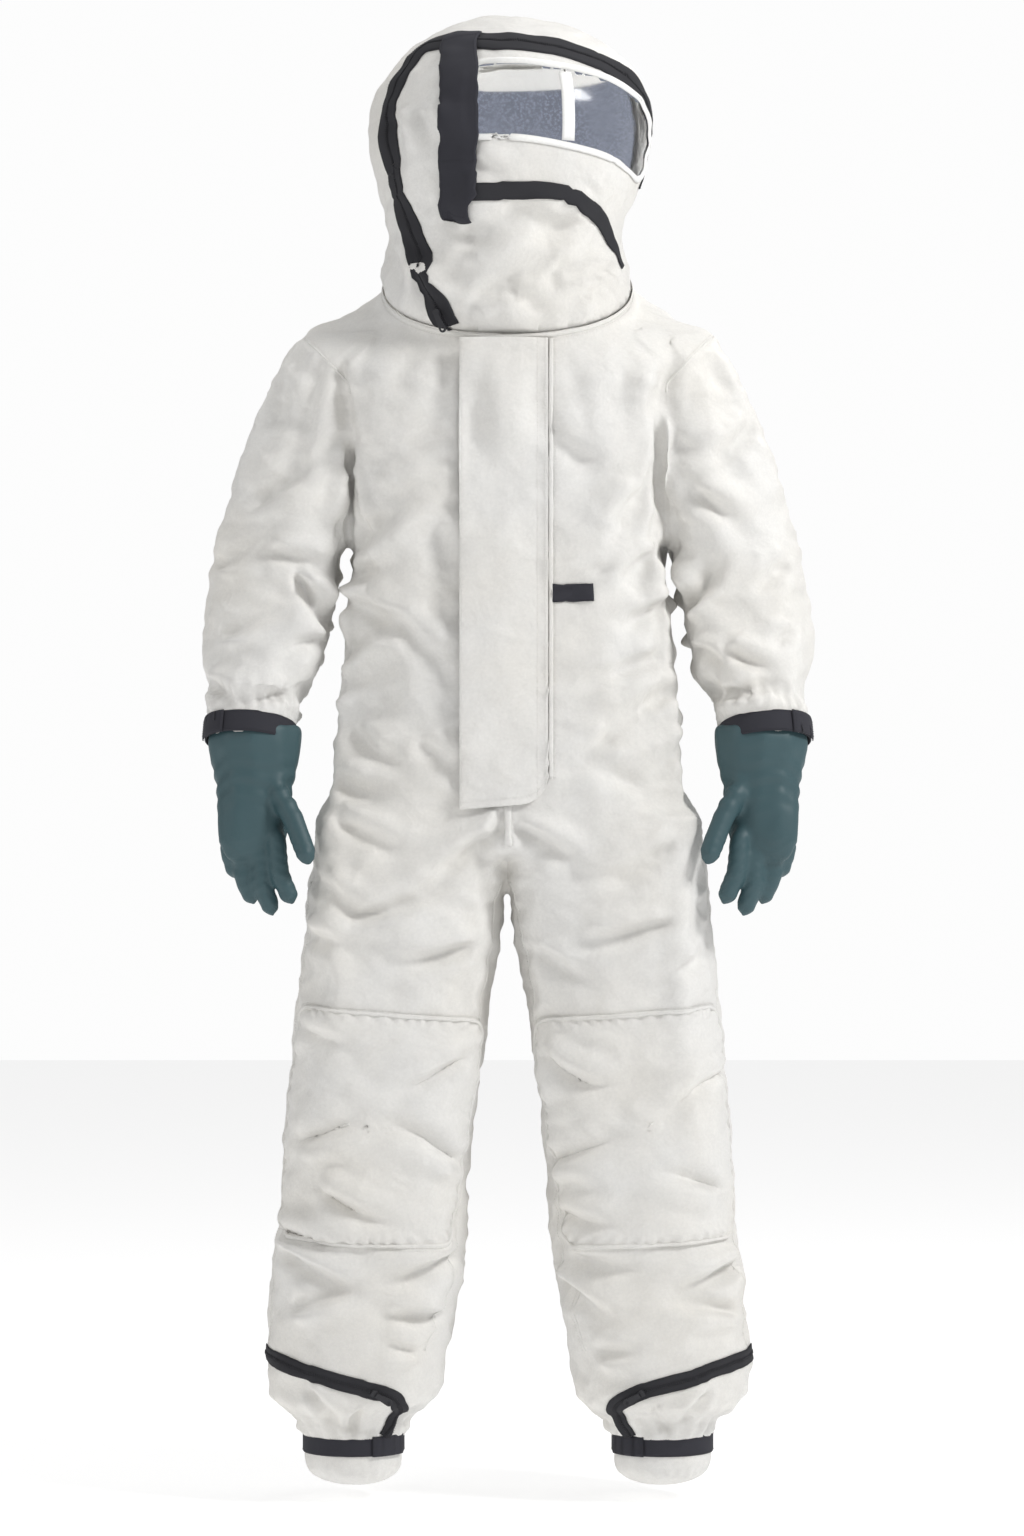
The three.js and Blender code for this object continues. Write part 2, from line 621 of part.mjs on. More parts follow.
// ---------------------------------------------------------------- front zip and storm flap
const frontPlace = (x, z) =>
  trunk.seek((p) => (p.x - x) ** 2 + (p.z - z) ** 2 + (p.y > 0 ? 1e6 : 0));
const zipTop = -40;
const zipBottom = FLAP.bottom + 22;
const frontRoute = Array.from({ length: 21 }, (_, i) =>
  frontPlace(0, zipTop + ((zipBottom - zipTop) * i) / 20),
);
add(
  "front_zip_tape",
  strip(trunk, frontRoute, { width: 2 * TAPE_WIDTH, top: LIFT + TAPE, bottom: LIFT }),
  BLACK_TAPE,
);
// The slider is seated where the zip runs straight, and then run up to its closed end.
const zipStraight = -200;
const zipClosed = -100;
const straightPlace = frontPlace(0, zipStraight);
const straightFront = trunk.point(straightPlace.u, straightPlace.v).y;
// How far the run stands in front of the straight stretch, where the chest is shallower.
const runStand = frontRoute
  .map(({ u, v }) => trunk.point(u, v))
  .filter((p) => p.z < zipClosed + SLIDER.length)
  .reduce((most, p) => Math.max(most, straightFront - p.y), 0);
zipSlider("front_zip", trunk, straightPlace, vec(0, 0, -1), {
  up: zipClosed - zipStraight,
  lift: runStand,
});

const flapLift = pullLift + runStand + PULL.thickness + 1.8;
const flapMiddle = (FLAP.left + FLAP.right) / 2;
const flapRoute = Array.from({ length: 22 }, (_, i) =>
  frontPlace(flapMiddle, FLAP.top + ((FLAP.bottom - FLAP.top) * i) / 21),
);
const flapSheet = strip(trunk, flapRoute, {
  width: FLAP.right - FLAP.left,
  top: flapLift + FLAP.thickness,
  bottom: flapLift,
  across: 4,
});
add("storm_flap", flapSheet, WHITE_CLOTH);

// The flap's stitched edge is sewn down to the left front panel.
const hemMiddle = FLAP.right + HEM.gap + HEM.width / 2;
const flapHem = strip(
  trunk,
  flapRoute.map((_, i) =>
    frontPlace(hemMiddle, FLAP.top + ((FLAP.bottom - FLAP.top) * i) / 21),
  ),
  { width: HEM.width, top: flapLift + 1, bottom: LIFT, across: 1 },
);
add("flap_hem", flapHem, WHITE_CLOTH);

const patchPlaces = Array.from({ length: 5 }, (_, i) =>
  frontPlace(PATCH.left + ((PATCH.right - PATCH.left) * i) / 4, (PATCH.top + PATCH.bottom) / 2),
);
const patchFront = trunk.point(patchPlaces[0].u, patchPlaces[0].v).y - LIFT - WEBBING;
const patchBack = trunk.point(patchPlaces[4].u, patchPlaces[4].v).y;
const badgePatch = block(
  vec(PATCH.left, patchFront, PATCH.bottom),
  vec(PATCH.right, patchBack, PATCH.top),
).subtract(filled(trunk, LIFT, [16, 56]));
add("badge_patch", largest(badgePatch), BLACK_TAPE);

// ---------------------------------------------------------------- hood panels
const bearings = (rows) => rows.map(([degrees, z]) => hood.bearing(degrees, z));

// The hood zip: up the right cheek, over the brow and down behind the left cheek.
const zipGuides = bearings([
  [-32, -14],
  [-40, 45],
  [-51, 104],
  [-59, 160],
  [-64, 222],
  [-64, 272],
  [-61, 311],
  [-54, 338],
  [-32, 345],
  [-4, 338],
  [28, 330],
  [50, 312],
  [67, 285],
  [79, 251],
  [84, 212],
  [86, 174],
]);
const strapTop = zipGuides[8];
const hingeGuides = [zipGuides[15], ...bearings([[81, 122], [72, 72]])];
const chinGuides = bearings([
  [-20, 150],
  [-4, 152],
  [14, 152],
  [31, 143],
  [47, 124],
  [61, 98],
  [72, 72],
]);
const edgeGuides = [strapTop, ...bearings([[-23, 318], [-20, 290], [-19, 220], [-20, 150]])];
const jawGuides = bearings([[72, 72], [74, 50], [76, 24]]);

const cutter = { width: SEAM_GAP, top: 9, bottom: -14, across: 1 };
const wall = (places) => strip(hood, places, cutter);
const hoodZipRoute = route(hood, zipGuides, 22);
const chinRoute = route(hood, chinGuides, 20);
const edgeRoute = route(hood, edgeGuides, 22);
const extend = (places, ends) => {
  const [first, last] = [places[0], places[places.length - 1]];
  const on = (a, b, share) => ({ u: a.u + (a.u - b.u) * share, v: a.v + (a.v - b.v) * share });
  const made = [...places];
  if (ends.includes("start")) made.unshift(on(first, places[1], 0.6));
  if (ends.includes("end")) made.push(on(last, places[places.length - 2], 0.6));
  return made;
};
const hoodCuts = [
  wall(extend(hoodZipRoute, ["start"])),
  wall(route(hood, hingeGuides, 20)),
  wall(extend(chinRoute, ["start", "end"])),
  wall(extend(edgeRoute, ["start", "end"])),
  wall(extend(route(hood, jawGuides, 20), ["end"])),
].reduce((a, b) => a.add(b));

const HOOD_STEPS = [12, 20];
const hoodShell = shell(hood, { steps: HOOD_STEPS, close: "high" }).subtract(hoodCuts);
const onHood = (degrees, z) => {
  const { u, v } = hood.bearing(degrees, z);
  return hood.point(u, v);
};
add("hood_back_panel", bodyAt(hoodShell, onHood(180, 250)), WHITE_CLOTH);
add("hood_front_panel", bodyAt(hoodShell, onHood(0, 80)), WHITE_CLOTH);
const door = bodyAt(hoodShell, onHood(30, 180));

// The visor window and its two panes, which meet under the divider.
const windowGuides = bearings([
  [-14, 218],
  [6, 215],
  [26, 207],
  [46, 196],
  [64, 181],
  [75, 186],
  [79, 222],
  [72, 258],
  [57, 284],
  [40, 299],
  [20, 307],
  [0, 311],
  [-14, 309],
  [-17, 264],
]);
const windowRoute = route(hood, windowGuides, 20, true);
const windowWall = strip(hood, windowRoute, { ...cutter, closed: true });
const doorParts = door.subtract(windowWall);
add("face_panel", bodyAt(doorParts, onHood(10, 165)), WHITE_CLOTH);
const pane = bodyAt(doorParts, onHood(20, 260));
const PANE_SPLIT = 24; // compass angle of the divider
const upThePane = (heights) =>
  route(hood, bearings(heights.map((z) => [PANE_SPLIT, z])), 20);
const dividerRoute = upThePane([200, 255, 316]);
const PANE_THICKNESS = 1.2;
const paneLayer = shell(hood, {
  steps: HOOD_STEPS,
  close: "high",
  top: -1,
  bottom: -1 - PANE_THICKNESS,
});
const paneCut = pane.intersect(paneLayer).subtract(strip(hood, dividerRoute, cutter));
add("visor_pane_right", bodyAt(paneCut, onHood(0, 260)), CLEAR);
add("visor_pane_left", bodyAt(paneCut, onHood(60, 240)), CLEAR);
const bindingBand = { width: 11, top: LIFT + 1.2, bottom: LIFT, closed: true };
add("visor_binding", strip(hood, windowRoute, bindingBand), BINDING);
const dividerBand = { width: 17, top: LIFT + 1, bottom: LIFT };
add("visor_divider", strip(hood, upThePane([221, 255, 291]), dividerBand), BINDING);

// ---------------------------------------------------------------- hood tapes, strap and linings
const halfTape = TAPE_WIDTH * 0.58; // from the middle of the zip to the middle of one tape
const tapeBand = { width: TAPE_WIDTH, top: LIFT + TAPE, bottom: LIFT };
const sideRoute = (places, shift) => beside(hood, places, shift);
const splitAt = hoodZipRoute.reduce(
  (best, place, i) => {
    const away = hood.point(place.u, place.v).distanceTo(hood.point(strapTop.u, strapTop.v));
    return away < best.away ? { i, away } : best;
  },
  { i: 0, away: Infinity },
).i;
add("hood_zip_tape_back", strip(hood, sideRoute(hoodZipRoute, -halfTape), tapeBand), BLACK_TAPE);
add(
  "hood_zip_tape_front",
  strip(hood, sideRoute(hoodZipRoute.slice(0, splitAt), halfTape), tapeBand),
  BLACK_TAPE,
);
add(
  "visor_zip_tape",
  strip(hood, sideRoute(hoodZipRoute.slice(splitAt + 1), halfTape), {
    ...tapeBand,
    bottom: LIFT + 2.1,
    top: LIFT + 2.1 + TAPE,
  }),
  BLACK_TAPE,
);
const PINCH_LIFT = 2; // extra height over the hollow of the hood's throat
add(
  "chin_tape",
  strip(hood, chinRoute, { width: 18, top: LIFT + PINCH_LIFT + TAPE, bottom: LIFT + PINCH_LIFT }),
  BLACK_TAPE,
);

const strapGuides = bearings([
  [-27, 356],
  [-26, 340],
  [-23, 318],
  [-20, 290],
  [-19, 220],
  [-20, 150],
  [-22, 118],
]);
const strapRoute = route(hood, strapGuides, 18);
add(
  "face_strap",
  strip(hood, strapRoute, { width: 50, top: 8.2, bottom: 5.6, across: 4 }),
  BLACK_TAPE,
);

const LINING_GAP = 8; // between the hood's shell and its lining
const liningAt = { top: -CLOTH - LINING_GAP, bottom: -CLOTH - LINING_GAP - 3 };
const liningU = (z) => hood.bearing(180, z).u;
add(
  "hood_mesh_lining",
  shell(hood, { u: [liningU(150), liningU(300)], v: [0.27, 0.73], steps: [7, 12], ...liningAt }),
  LINING_MESH,
);
add(
  "hood_lining_band",
  shell(hood, { u: [liningU(302), liningU(334)], v: [0.25, 0.75], steps: [2, 12], ...liningAt }),
  WHITE_CLOTH,
);

const hoodPlace = hoodZipRoute[1];
const hoodUp = hood.point(hoodZipRoute[5].u, hoodZipRoute[5].v);
const hoodDown = hood.point(hoodPlace.u, hoodPlace.v).sub(hoodUp);
zipSlider("hood_zip", hood, hoodPlace, hoodDown, { lift: RUN_CLEAR });

// ---------------------------------------------------------------- left and right pairs
const pairs = [
  ["upper_sleeve", upperSleeve, WHITE_CLOTH],
  ["lower_sleeve", lowerSleeve, WHITE_CLOTH],
  ["cuff_strap", cuffStrap, BLACK_TAPE],
  ["cuff_tab", cuffTab, BLACK_TAPE],
  ["glove", glove, GLOVE_LEATHER],
  ["thigh_panel", thigh, WHITE_CLOTH],
  ["shin_panel", shin, WHITE_CLOTH],
  ["knee_patch", kneePatch, WHITE_CLOTH],
  ["ankle_strap", ankleStrap, BLACK_TAPE],
  ["ankle_tab", ankleTab, BLACK_TAPE],
  ["ankle_zip_tape", ankleTape, BLACK_TAPE],
  ["ankle_sock", sockShell, WHITE_CLOTH],
];
for (const [name, shape, material] of pairs) {
  add(`${name}_left`, shape, material);
  add(`${name}_right`, mirrored(shape), material);
}

const anklePlace = leg.near(vec(165, -100, -1315));
const ankleEnd = vec(134, -72, -1333);
for (const flip of [false, true]) {
  const towards = ankleEnd.clone().sub(leg.point(anklePlace.u, anklePlace.v));
  const side = flip ? "_right" : "_left";
  zipSlider("ankle_zip", leg, anklePlace, towards, { side, lift: RUN_CLEAR, flip });
}

export default root;
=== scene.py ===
"""A beekeeping suit: the cloth, trim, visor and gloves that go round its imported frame."""

import json
import math
from types import SimpleNamespace

import bmesh
import bpy
import numpy as np
from bpy.props import FloatProperty, FloatVectorProperty, PointerProperty
from mathutils import Euler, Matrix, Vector, noise
from mathutils.bvhtree import BVHTree
from mathutils.geometry import delaunay_2d_cdt


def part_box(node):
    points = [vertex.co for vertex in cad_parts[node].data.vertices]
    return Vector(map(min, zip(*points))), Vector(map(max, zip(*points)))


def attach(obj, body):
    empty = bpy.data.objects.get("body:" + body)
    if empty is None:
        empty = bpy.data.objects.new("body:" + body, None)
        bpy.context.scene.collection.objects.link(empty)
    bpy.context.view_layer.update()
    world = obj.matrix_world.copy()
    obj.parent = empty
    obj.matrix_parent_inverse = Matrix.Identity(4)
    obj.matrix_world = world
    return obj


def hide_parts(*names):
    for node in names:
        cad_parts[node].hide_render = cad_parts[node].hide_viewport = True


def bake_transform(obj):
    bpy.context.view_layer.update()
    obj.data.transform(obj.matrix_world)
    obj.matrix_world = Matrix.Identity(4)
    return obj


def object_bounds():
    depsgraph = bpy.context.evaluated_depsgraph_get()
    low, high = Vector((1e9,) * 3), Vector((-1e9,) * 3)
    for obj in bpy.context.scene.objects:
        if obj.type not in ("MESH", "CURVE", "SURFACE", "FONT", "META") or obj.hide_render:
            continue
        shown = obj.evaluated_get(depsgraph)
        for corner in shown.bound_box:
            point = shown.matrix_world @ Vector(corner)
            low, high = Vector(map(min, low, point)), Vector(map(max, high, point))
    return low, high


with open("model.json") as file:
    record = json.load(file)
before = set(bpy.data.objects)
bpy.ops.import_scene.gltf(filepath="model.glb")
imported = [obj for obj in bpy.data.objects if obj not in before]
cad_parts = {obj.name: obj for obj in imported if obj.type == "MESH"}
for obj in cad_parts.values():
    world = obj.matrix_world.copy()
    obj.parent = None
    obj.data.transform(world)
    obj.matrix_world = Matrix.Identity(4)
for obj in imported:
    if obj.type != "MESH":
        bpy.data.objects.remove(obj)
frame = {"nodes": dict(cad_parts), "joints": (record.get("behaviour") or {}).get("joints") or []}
CAD_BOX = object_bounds()

bl_info = {
    "name": "Beekeeping Suit",
    "version": (1, 0, 0),
    "blender": (4, 5, 0),
    "location": "View3D > Sidebar > Suit",
    "description": "Sews the cloth, trim, visor and gloves of a beekeeping suit round its frame",
    "category": "Object",
}

NODES = frame["nodes"]
SIDES = {"left": 1, "right": -1}  # the wearer's left is +X
MM = 0.001


# -------- sizes and colours
class SuitCloth(bpy.types.PropertyGroup):
    """The ventilated cloth of the coverall and hood."""

    colour: FloatVectorProperty(
        name="Colour", description="Colour of the cloth", subtype="COLOR",
        default=(0.84, 0.83, 0.805), min=0, max=1,
    )
    pitch: FloatProperty(
        name="Weave", description="Distance from thread to thread of the basket weave",
        default=0.0024, unit="LENGTH",
    )
    mesh_size: FloatProperty(
        name="Mesh size", description="Edge length of the cloth while it settles",
        default=0.0085, unit="LENGTH",
    )
    growth: FloatProperty(
        name="Slack", description="How much wider the cloth is cut than the body it hangs on",
        default=0.05, subtype="FACTOR",
    )
    fold: FloatProperty(
        name="Fold height", description="Furthest that a fold moves off the body",
        default=0.015, unit="LENGTH",
    )
    depth: FloatProperty(
        name="Fold depth", description="Scale of the folds pressed into the settled cloth",
        default=2.0, subtype="FACTOR", soft_max=3,
    )


class SuitTrim(bpy.types.PropertyGroup):
    """The black zips and straps, the white binding and the visor."""

    black: FloatVectorProperty(
        name="Black", description="Colour of tape and webbing", subtype="COLOR",
        default=(0.012, 0.0125, 0.0145), min=0, max=1,
    )
    white: FloatVectorProperty(
        name="White", description="Colour of the visor's binding", subtype="COLOR",
        default=(0.86, 0.86, 0.85), min=0, max=1,
    )
    lining: FloatVectorProperty(
        name="Lining", description="Colour of the mesh lining", subtype="COLOR",
        default=(0.27, 0.295, 0.37), min=0, max=1,
    )


class SuitGlove(bpy.types.PropertyGroup):
    """The leather gloves."""

    colour: FloatVectorProperty(
        name="Leather", description="Colour of the leather", subtype="COLOR",
        default=(0.010, 0.034, 0.036), min=0, max=1,
    )
    grain: FloatProperty(
        name="Grain", description="Size of the leather's grain", default=0.0022, unit="LENGTH"
    )


# -------- numbers and grids
def spline(knots, count):
    """Evenly counted points on a smooth line through knots."""
    knots = [Vector(k) for k in knots]
    ends = [2 * knots[0] - knots[1], *knots, 2 * knots[-1] - knots[-2]]
    line = []
    for i in range(count):
        t = i / (count - 1) * (len(knots) - 1)
        k = min(int(t), len(knots) - 2)
        a, b, c, d = ends[k : k + 4]
        s = t - k
        line.append(
            0.5 * (2 * b + (c - a) * s + (2 * a - 5 * b + 4 * c - d) * s * s
                   + (3 * b - a - 3 * c + d) * s**3)
        )
    return line


def even(points, spacing, closed=False):
    """The same polyline with its points a steady distance apart."""
    run = [*points, points[0]] if closed else list(points)
    lengths = np.cumsum([0] + [(b - a).length for a, b in zip(run, run[1:])])
    count = max(4, round(lengths[-1] / spacing))
    wanted = np.linspace(0, lengths[-1], count + 1)[: count if closed else None]
    array = np.array([tuple(p) for p in run])
    return [Vector(p) for p in zip(*(np.interp(wanted, lengths, array[:, k]) for k in range(3)))]


def softened(grid, rows, columns):
    """A grid of radii blurred along its rows and round its columns."""
    out = grid.copy()
    for axis, amount in ((0, rows), (1, columns)):
        reach = int(3 * amount)
        if reach < 1:
            continue
        kernel = np.exp(-0.5 * (np.arange(-reach, reach + 1) / amount) ** 2)
        kernel /= kernel.sum()
        pad = [(reach, reach) if k == axis else (0, 0) for k in (0, 1)]
        padded = np.pad(out, pad, mode="wrap" if axis == 1 else "reflect", **(
            {} if axis == 1 else {"reflect_type": "odd"}))
        out = np.apply_along_axis(lambda line: np.convolve(line, kernel, "valid"), axis, padded)
    return out


def filled_in(grid):
    """A grid whose missing places are spread in from their neighbours."""
    missing = np.isnan(grid)
    out = np.where(missing, np.nanmedian(grid), grid)
    for row in range(len(grid)):
        if missing[row].all():
            continue
        out[row][missing[row]] = np.nanmedian(grid[row])
    good = [row for row in range(len(grid)) if not missing[row].all()]
    for row in range(len(grid)):
        if missing[row].all():
            out[row] = out[min(good, key=lambda g: abs(g - row))]
    for _ in range(300):
        around = (np.roll(out, 1, 1) + np.roll(out, -1, 1)) / 2
        up = np.vstack([out[:1], out[:-1]])
        down = np.vstack([out[1:], out[-1:]])
        out = np.where(missing, (2 * around + up + down) / 4, out)
    return out


def tree_of(*names):
    """One search tree over several CAD nodes."""
    points, faces = [], []
    for name in names:
        mesh = NODES[name].data
        base = len(points)
        points += [v.co.copy() for v in mesh.vertices]
        faces += [[base + i for i in p.vertices] for p in mesh.polygons]
    return BVHTree.FromPolygons(points, faces)


def reach_of(tree, centre, direction, far=0.5, least=0.0):
    """How far the outside of the tree lies from a centre, or nothing if the ray slips through."""
    hit = tree.ray_cast(centre + direction * far, -direction, far)[0]
    if hit is None or (hit - centre).length < least:
        return math.nan
    return (hit - centre).length


class Tube:
    """A smooth tube measured off CAD nodes, section by section."""

    def __init__(self, names, sections, spokes=72, least=0.03, soft=(2.0, 1.6)):
        tree = tree_of(*names)
        self.centres = [Vector(centre) for centre, _ in sections]
        self.turns = [Euler([math.radians(a) for a in turn]).to_matrix() for _, turn in sections]
        self.angles = np.linspace(0, 2 * math.pi, spokes, endpoint=False)
        raw = np.array([
            [reach_of(tree, centre, turn @ Vector((math.sin(a), -math.cos(a), 0)), least=least)
             for a in self.angles]
            for centre, turn in zip(self.centres, self.turns)
        ])
        self.radii = softened(filled_in(raw), *soft)

    def rows(self):
        return [
            [centre + turn @ Vector((math.sin(a), -math.cos(a), 0)) * r
             for a, r in zip(self.angles, radii)]
            for centre, turn, radii in zip(self.centres, self.turns, self.radii)
        ]


# -------- meshes
def in_scene(name, data):
    """A new object in the scene, which holds a mesh, a light or a camera."""
    made = bpy.data.objects.new(name, data)
    bpy.context.scene.collection.objects.link(made)
    return made


def link(name, points, faces):
    """A new object made of points and faces."""
    mesh = bpy.data.meshes.new(name)
    mesh.from_pydata([tuple(p) for p in points], [], faces)
    mesh.validate()
    return in_scene(name, mesh)


def smooth(obj):
    obj.data.polygons.foreach_set("use_smooth", [True] * len(obj.data.polygons))
    return obj


def coords(obj):
    flat = np.empty(len(obj.data.vertices) * 3)
    obj.data.vertices.foreach_get("co", flat)
    return flat.reshape(-1, 3)


def set_coords(obj, array):
    """Moves a mesh's points to the places given."""
    obj.data.vertices.foreach_set("co", np.asarray(array, dtype=float).ravel())
    obj.data.update()


def normals(obj):
    flat = np.empty(len(obj.data.vertices) * 3)
    obj.data.vertex_normals.foreach_get("vector", flat)
    return flat.reshape(-1, 3)


def apply_all(obj):
    """The object with its modifiers worked into its mesh."""
    depsgraph = bpy.context.evaluated_depsgraph_get()
    mesh = bpy.data.meshes.new_from_object(obj.evaluated_get(depsgraph))
    old = obj.data
    obj.modifiers.clear()
    obj.data = mesh
    bpy.data.meshes.remove(old)
    return obj


def grid_faces(rows, columns, base=0, closed=False):
    """Quads between neighbouring rows of points, which may be closed rings."""
    faces = []
    for i in range(rows - 1):
        low, high = base + i * columns, base + (i + 1) * columns
        for j in range(columns if closed else columns - 1):
            k = (j + 1) % columns
            faces.append([low + j, low + k, high + k, high + j])
    return faces


def tube_parts(rows, base, capped=True):
    """Points and faces of a tube through rows of points, whose ends may be closed."""
    count = len(rows[0])
    points = [p for row in rows for p in row]
    faces = grid_faces(len(rows), count, base, closed=True)
    if capped:
        last = base + (len(rows) - 1) * count
        faces.append([base + j for j in reversed(range(count))])
        faces.append([last + j for j in range(count)])
    return points, faces


def remeshed(obj, size):
    """The closed mesh made anew, with faces of an even size."""
    remesh = obj.modifiers.new("even", "REMESH")
    remesh.mode, remesh.voxel_size = "VOXEL", size
    return apply_all(obj)


def merged_tubes(name, tubes, size):
    """Closed tubes grown together into one even mesh."""
    points, faces = [], []
    for rows in tubes:
        more, quads = tube_parts(rows, len(points))
        points += more
        faces += quads
    return remeshed(link(name, points, faces), size)


def relax(obj, times, factor=0.5, keep=None):
    """Evens a mesh out by moving each point towards its neighbours' middle."""
    mesh = obj.data
    edges = np.empty(len(mesh.edges) * 2, dtype=int)
    mesh.edges.foreach_get("vertices", edges)
    a, b = edges.reshape(-1, 2).T
    degree = np.bincount(edges, minlength=len(mesh.vertices)).clip(1)[:, None]
    at = coords(obj)
    weight = factor if keep is None else factor * (1 - keep)[:, None]
    for _ in range(times):
        total = np.zeros_like(at)
        np.add.at(total, a, at[b])
        np.add.at(total, b, at[a])
        at = at + (total / degree - at) * weight
    set_coords(obj, at)
    return obj


def trimmed(obj, point, normal):
    """Cuts away what lies beyond a plane, on the side its normal points to."""
    bm = bmesh.new()
    bm.from_mesh(obj.data)
    everything = bm.verts[:] + bm.edges[:] + bm.faces[:]
    bmesh.ops.bisect_plane(bm, geom=everything, dist=1e-5, plane_co=point, plane_no=normal,
                           clear_outer=True)
    bm.to_mesh(obj.data)
    bm.free()
    return obj


def settle(obj, held, frames, growth, pressure, bend, cap, drop=0.0):
    """Lets cloth that is cut too wide fall into folds, while its held points stay."""
    scene = bpy.context.scene
    start = coords(obj)
    group = obj.vertex_groups.new(name="held")
    for level in (1.0, 0.5):
        chosen = np.nonzero((held >= level) & (held < level + 0.5))[0]
        if len(chosen):
            group.add(chosen.tolist(), level, "REPLACE")
    cloth = obj.modifiers.new("cloth", "CLOTH")
    rules = cloth.settings
    rules.quality = 5
    rules.mass = 0.25
    rules.tension_stiffness = rules.compression_stiffness = 12
    rules.shear_stiffness = 6
    rules.bending_stiffness = bend
    rules.vertex_group_mass = "held"
    rules.pin_stiffness = 1
    rules.shrink_min = rules.shrink_max = -growth
    rules.use_pressure = pressure > 0
    rules.uniform_pressure_force = pressure
    rules.effector_weights.gravity = drop
    cloth.collision_settings.use_collision = False
    for number in range(1, frames + 1):
        scene.frame_set(number)
    evaluated = obj.evaluated_get(bpy.context.evaluated_depsgraph_get())
    flat = np.empty(len(obj.data.vertices) * 3)
    evaluated.data.vertices.foreach_get("co", flat)
    moved = flat.reshape(-1, 3) - start
    length = np.linalg.norm(moved, axis=1, keepdims=True)
    moved *= np.tanh(length / cap) * cap / np.maximum(length, 1e-9)
    obj.modifiers.remove(cloth)
    obj.vertex_groups.clear()
    set_coords(obj, start + moved)
    scene.frame_set(1)
    return obj


def subdivided(obj, levels=1):
    divide = obj.modifiers.new("fine", "SUBSURF")
    divide.levels = divide.render_levels = levels
    return apply_all(obj)


def skin_of(*objects):
    """A search tree over finished pieces."""
    points, faces = [], []
    for obj in objects:
        base = len(points)
        points += [v.co.copy() for v in obj.data.vertices]
        faces += [[base + i for i in p.vertices] for p in obj.data.polygons]
    return BVHTree.FromPolygons(points, faces)


def lie(tree, point, reach=0.06):
    """The nearest place on a skin, and the way out of it."""
    at, way, _, _ = tree.find_nearest(point, reach)
    return (point, None) if at is None else (at, way)


def ribbon(name, tree, route, offsets, heights, closed=False, slack=None, taper=None):
    """A strip along a route over a skin. offsets and heights draw its cross-section, all round."""
    line = [lie(tree, p) for p in route]
    count = len(line)
    points = []
    before_way = Vector((0, -1, 0))
    for i, (at, way) in enumerate(line):
        way = way or before_way
        before_way = way
        before = line[(i - 1) % count if closed else max(i - 1, 0)][0]
        after = line[(i + 1) % count if closed else min(i + 1, count - 1)][0]
        side = (after - before).cross(way).normalized()
        narrow = taper(i / (count - 1)) if taper else 1
        for offset, height in zip(offsets, heights):
            base, up = lie(tree, at + side * offset * narrow)
            up = (up or way) + way
            lift = height + (slack(i / (count - 1), offset) if slack else 0)
            points.append(base + up.normalized() * lift)
    ring = len(offsets)
    faces = []
    for i in range(count if closed else count - 1):
        for j in range(ring):
            k = (j + 1) % ring
            a, b = i * ring, (i + 1) % count * ring
            faces.append([a + j, b + j, b + k, a + k])
    if not closed:
        faces.append(list(range(ring)))
        faces.append([(count - 1) * ring + j for j in reversed(range(ring))])
    return outward(smooth(link(name, points, faces)))


def outward(obj):
    """The mesh with its faces turned to its outside."""
    bm = bmesh.new()
    bm.from_mesh(obj.data)
    bmesh.ops.recalc_face_normals(bm, faces=bm.faces)
    bm.to_mesh(obj.data)
    bm.free()
    return obj


def flat_section(width, thick, lift, columns=6, edge=0.35):
    """Cross-section of tape or webbing: a flat strip whose edges are rounded off."""
    half = width / 2
    across = np.linspace(-half, half, columns)
    top = [(x, lift + thick) for x in across]
    top[0] = (-half, lift + thick * (1 - edge))
    top[-1] = (half, lift + thick * (1 - edge))
    low = [(half, lift), (-half, lift)]
    section = top + low
    return [x for x, _ in section], [h for _, h in section]


# Length of a stitch and thickness of its thread: on seams, on tape and webbing, on the wide strap.
SEAM_STITCH = (0.0036, 0.0004)
TAPE_STITCH = (0.0030, 0.0003)
STRAP_STITCH = (0.0034, 0.00035)


def stitches(tree, route, stitch, lift, share=0.62):
    """Points and faces of a row of stitches along a route, of which thread covers a share."""
    spacing, thick = stitch
    points, faces = [], []
    run = even(route, spacing)
    for a, b in zip(run, run[1:]):
        middle, up = lie(tree, (a + b) / 2)
        if up is None:
            continue
        along = (b - a) * share / 2
        side = along.cross(up).normalized() * thick
        out = up * thick
        middle = middle + up * lift
        base = len(points)
        points += [middle - along, middle + along]
        points += [middle + w for w in (side, out * 1.4, -side, -out)]
        ring = [2, 3, 4, 5]
        for k in range(4):
            m, n = base + ring[k], base + ring[(k + 1) % 4]
            faces += [[base, n, m], [base + 1, m, n]]
    return points, faces


def stitched(tree, routes, stitch, lift):
    """Rows of stitches over a skin, as one mesh."""
    points, faces = [], []
    for route in routes:
        more, tris = stitches(tree, route, stitch, lift)
        faces += [[len(points) + i for i in f] for f in tris]
        points += more
    return link("stitches", points, faces)


# -------- shader helpers
def new_group(name, inputs, outputs):
    """An empty shader node group with its sockets, and its input and output nodes."""
    tree = bpy.data.node_groups.new(name, "ShaderNodeTree")
    for label, kind, value in inputs:
        socket = tree.interface.new_socket(label, in_out="INPUT", socket_type=kind)
        socket.default_value = value
    for label, kind in outputs:
        tree.interface.new_socket(label, in_out="OUTPUT", socket_type=kind)
    return tree, tree.nodes.new("NodeGroupInput"), tree.nodes.new("NodeGroupOutput")


def calc(tree, operation, *values):
    """A math node, whose values are numbers or sockets, and its result."""
    node = tree.nodes.new("ShaderNodeMath")
    node.operation = operation
    for socket, value in zip(node.inputs, values):
        if isinstance(value, bpy.types.NodeSocket):
            tree.links.new(value, socket)
        else:
            socket.default_value = value
    return node.outputs[0]


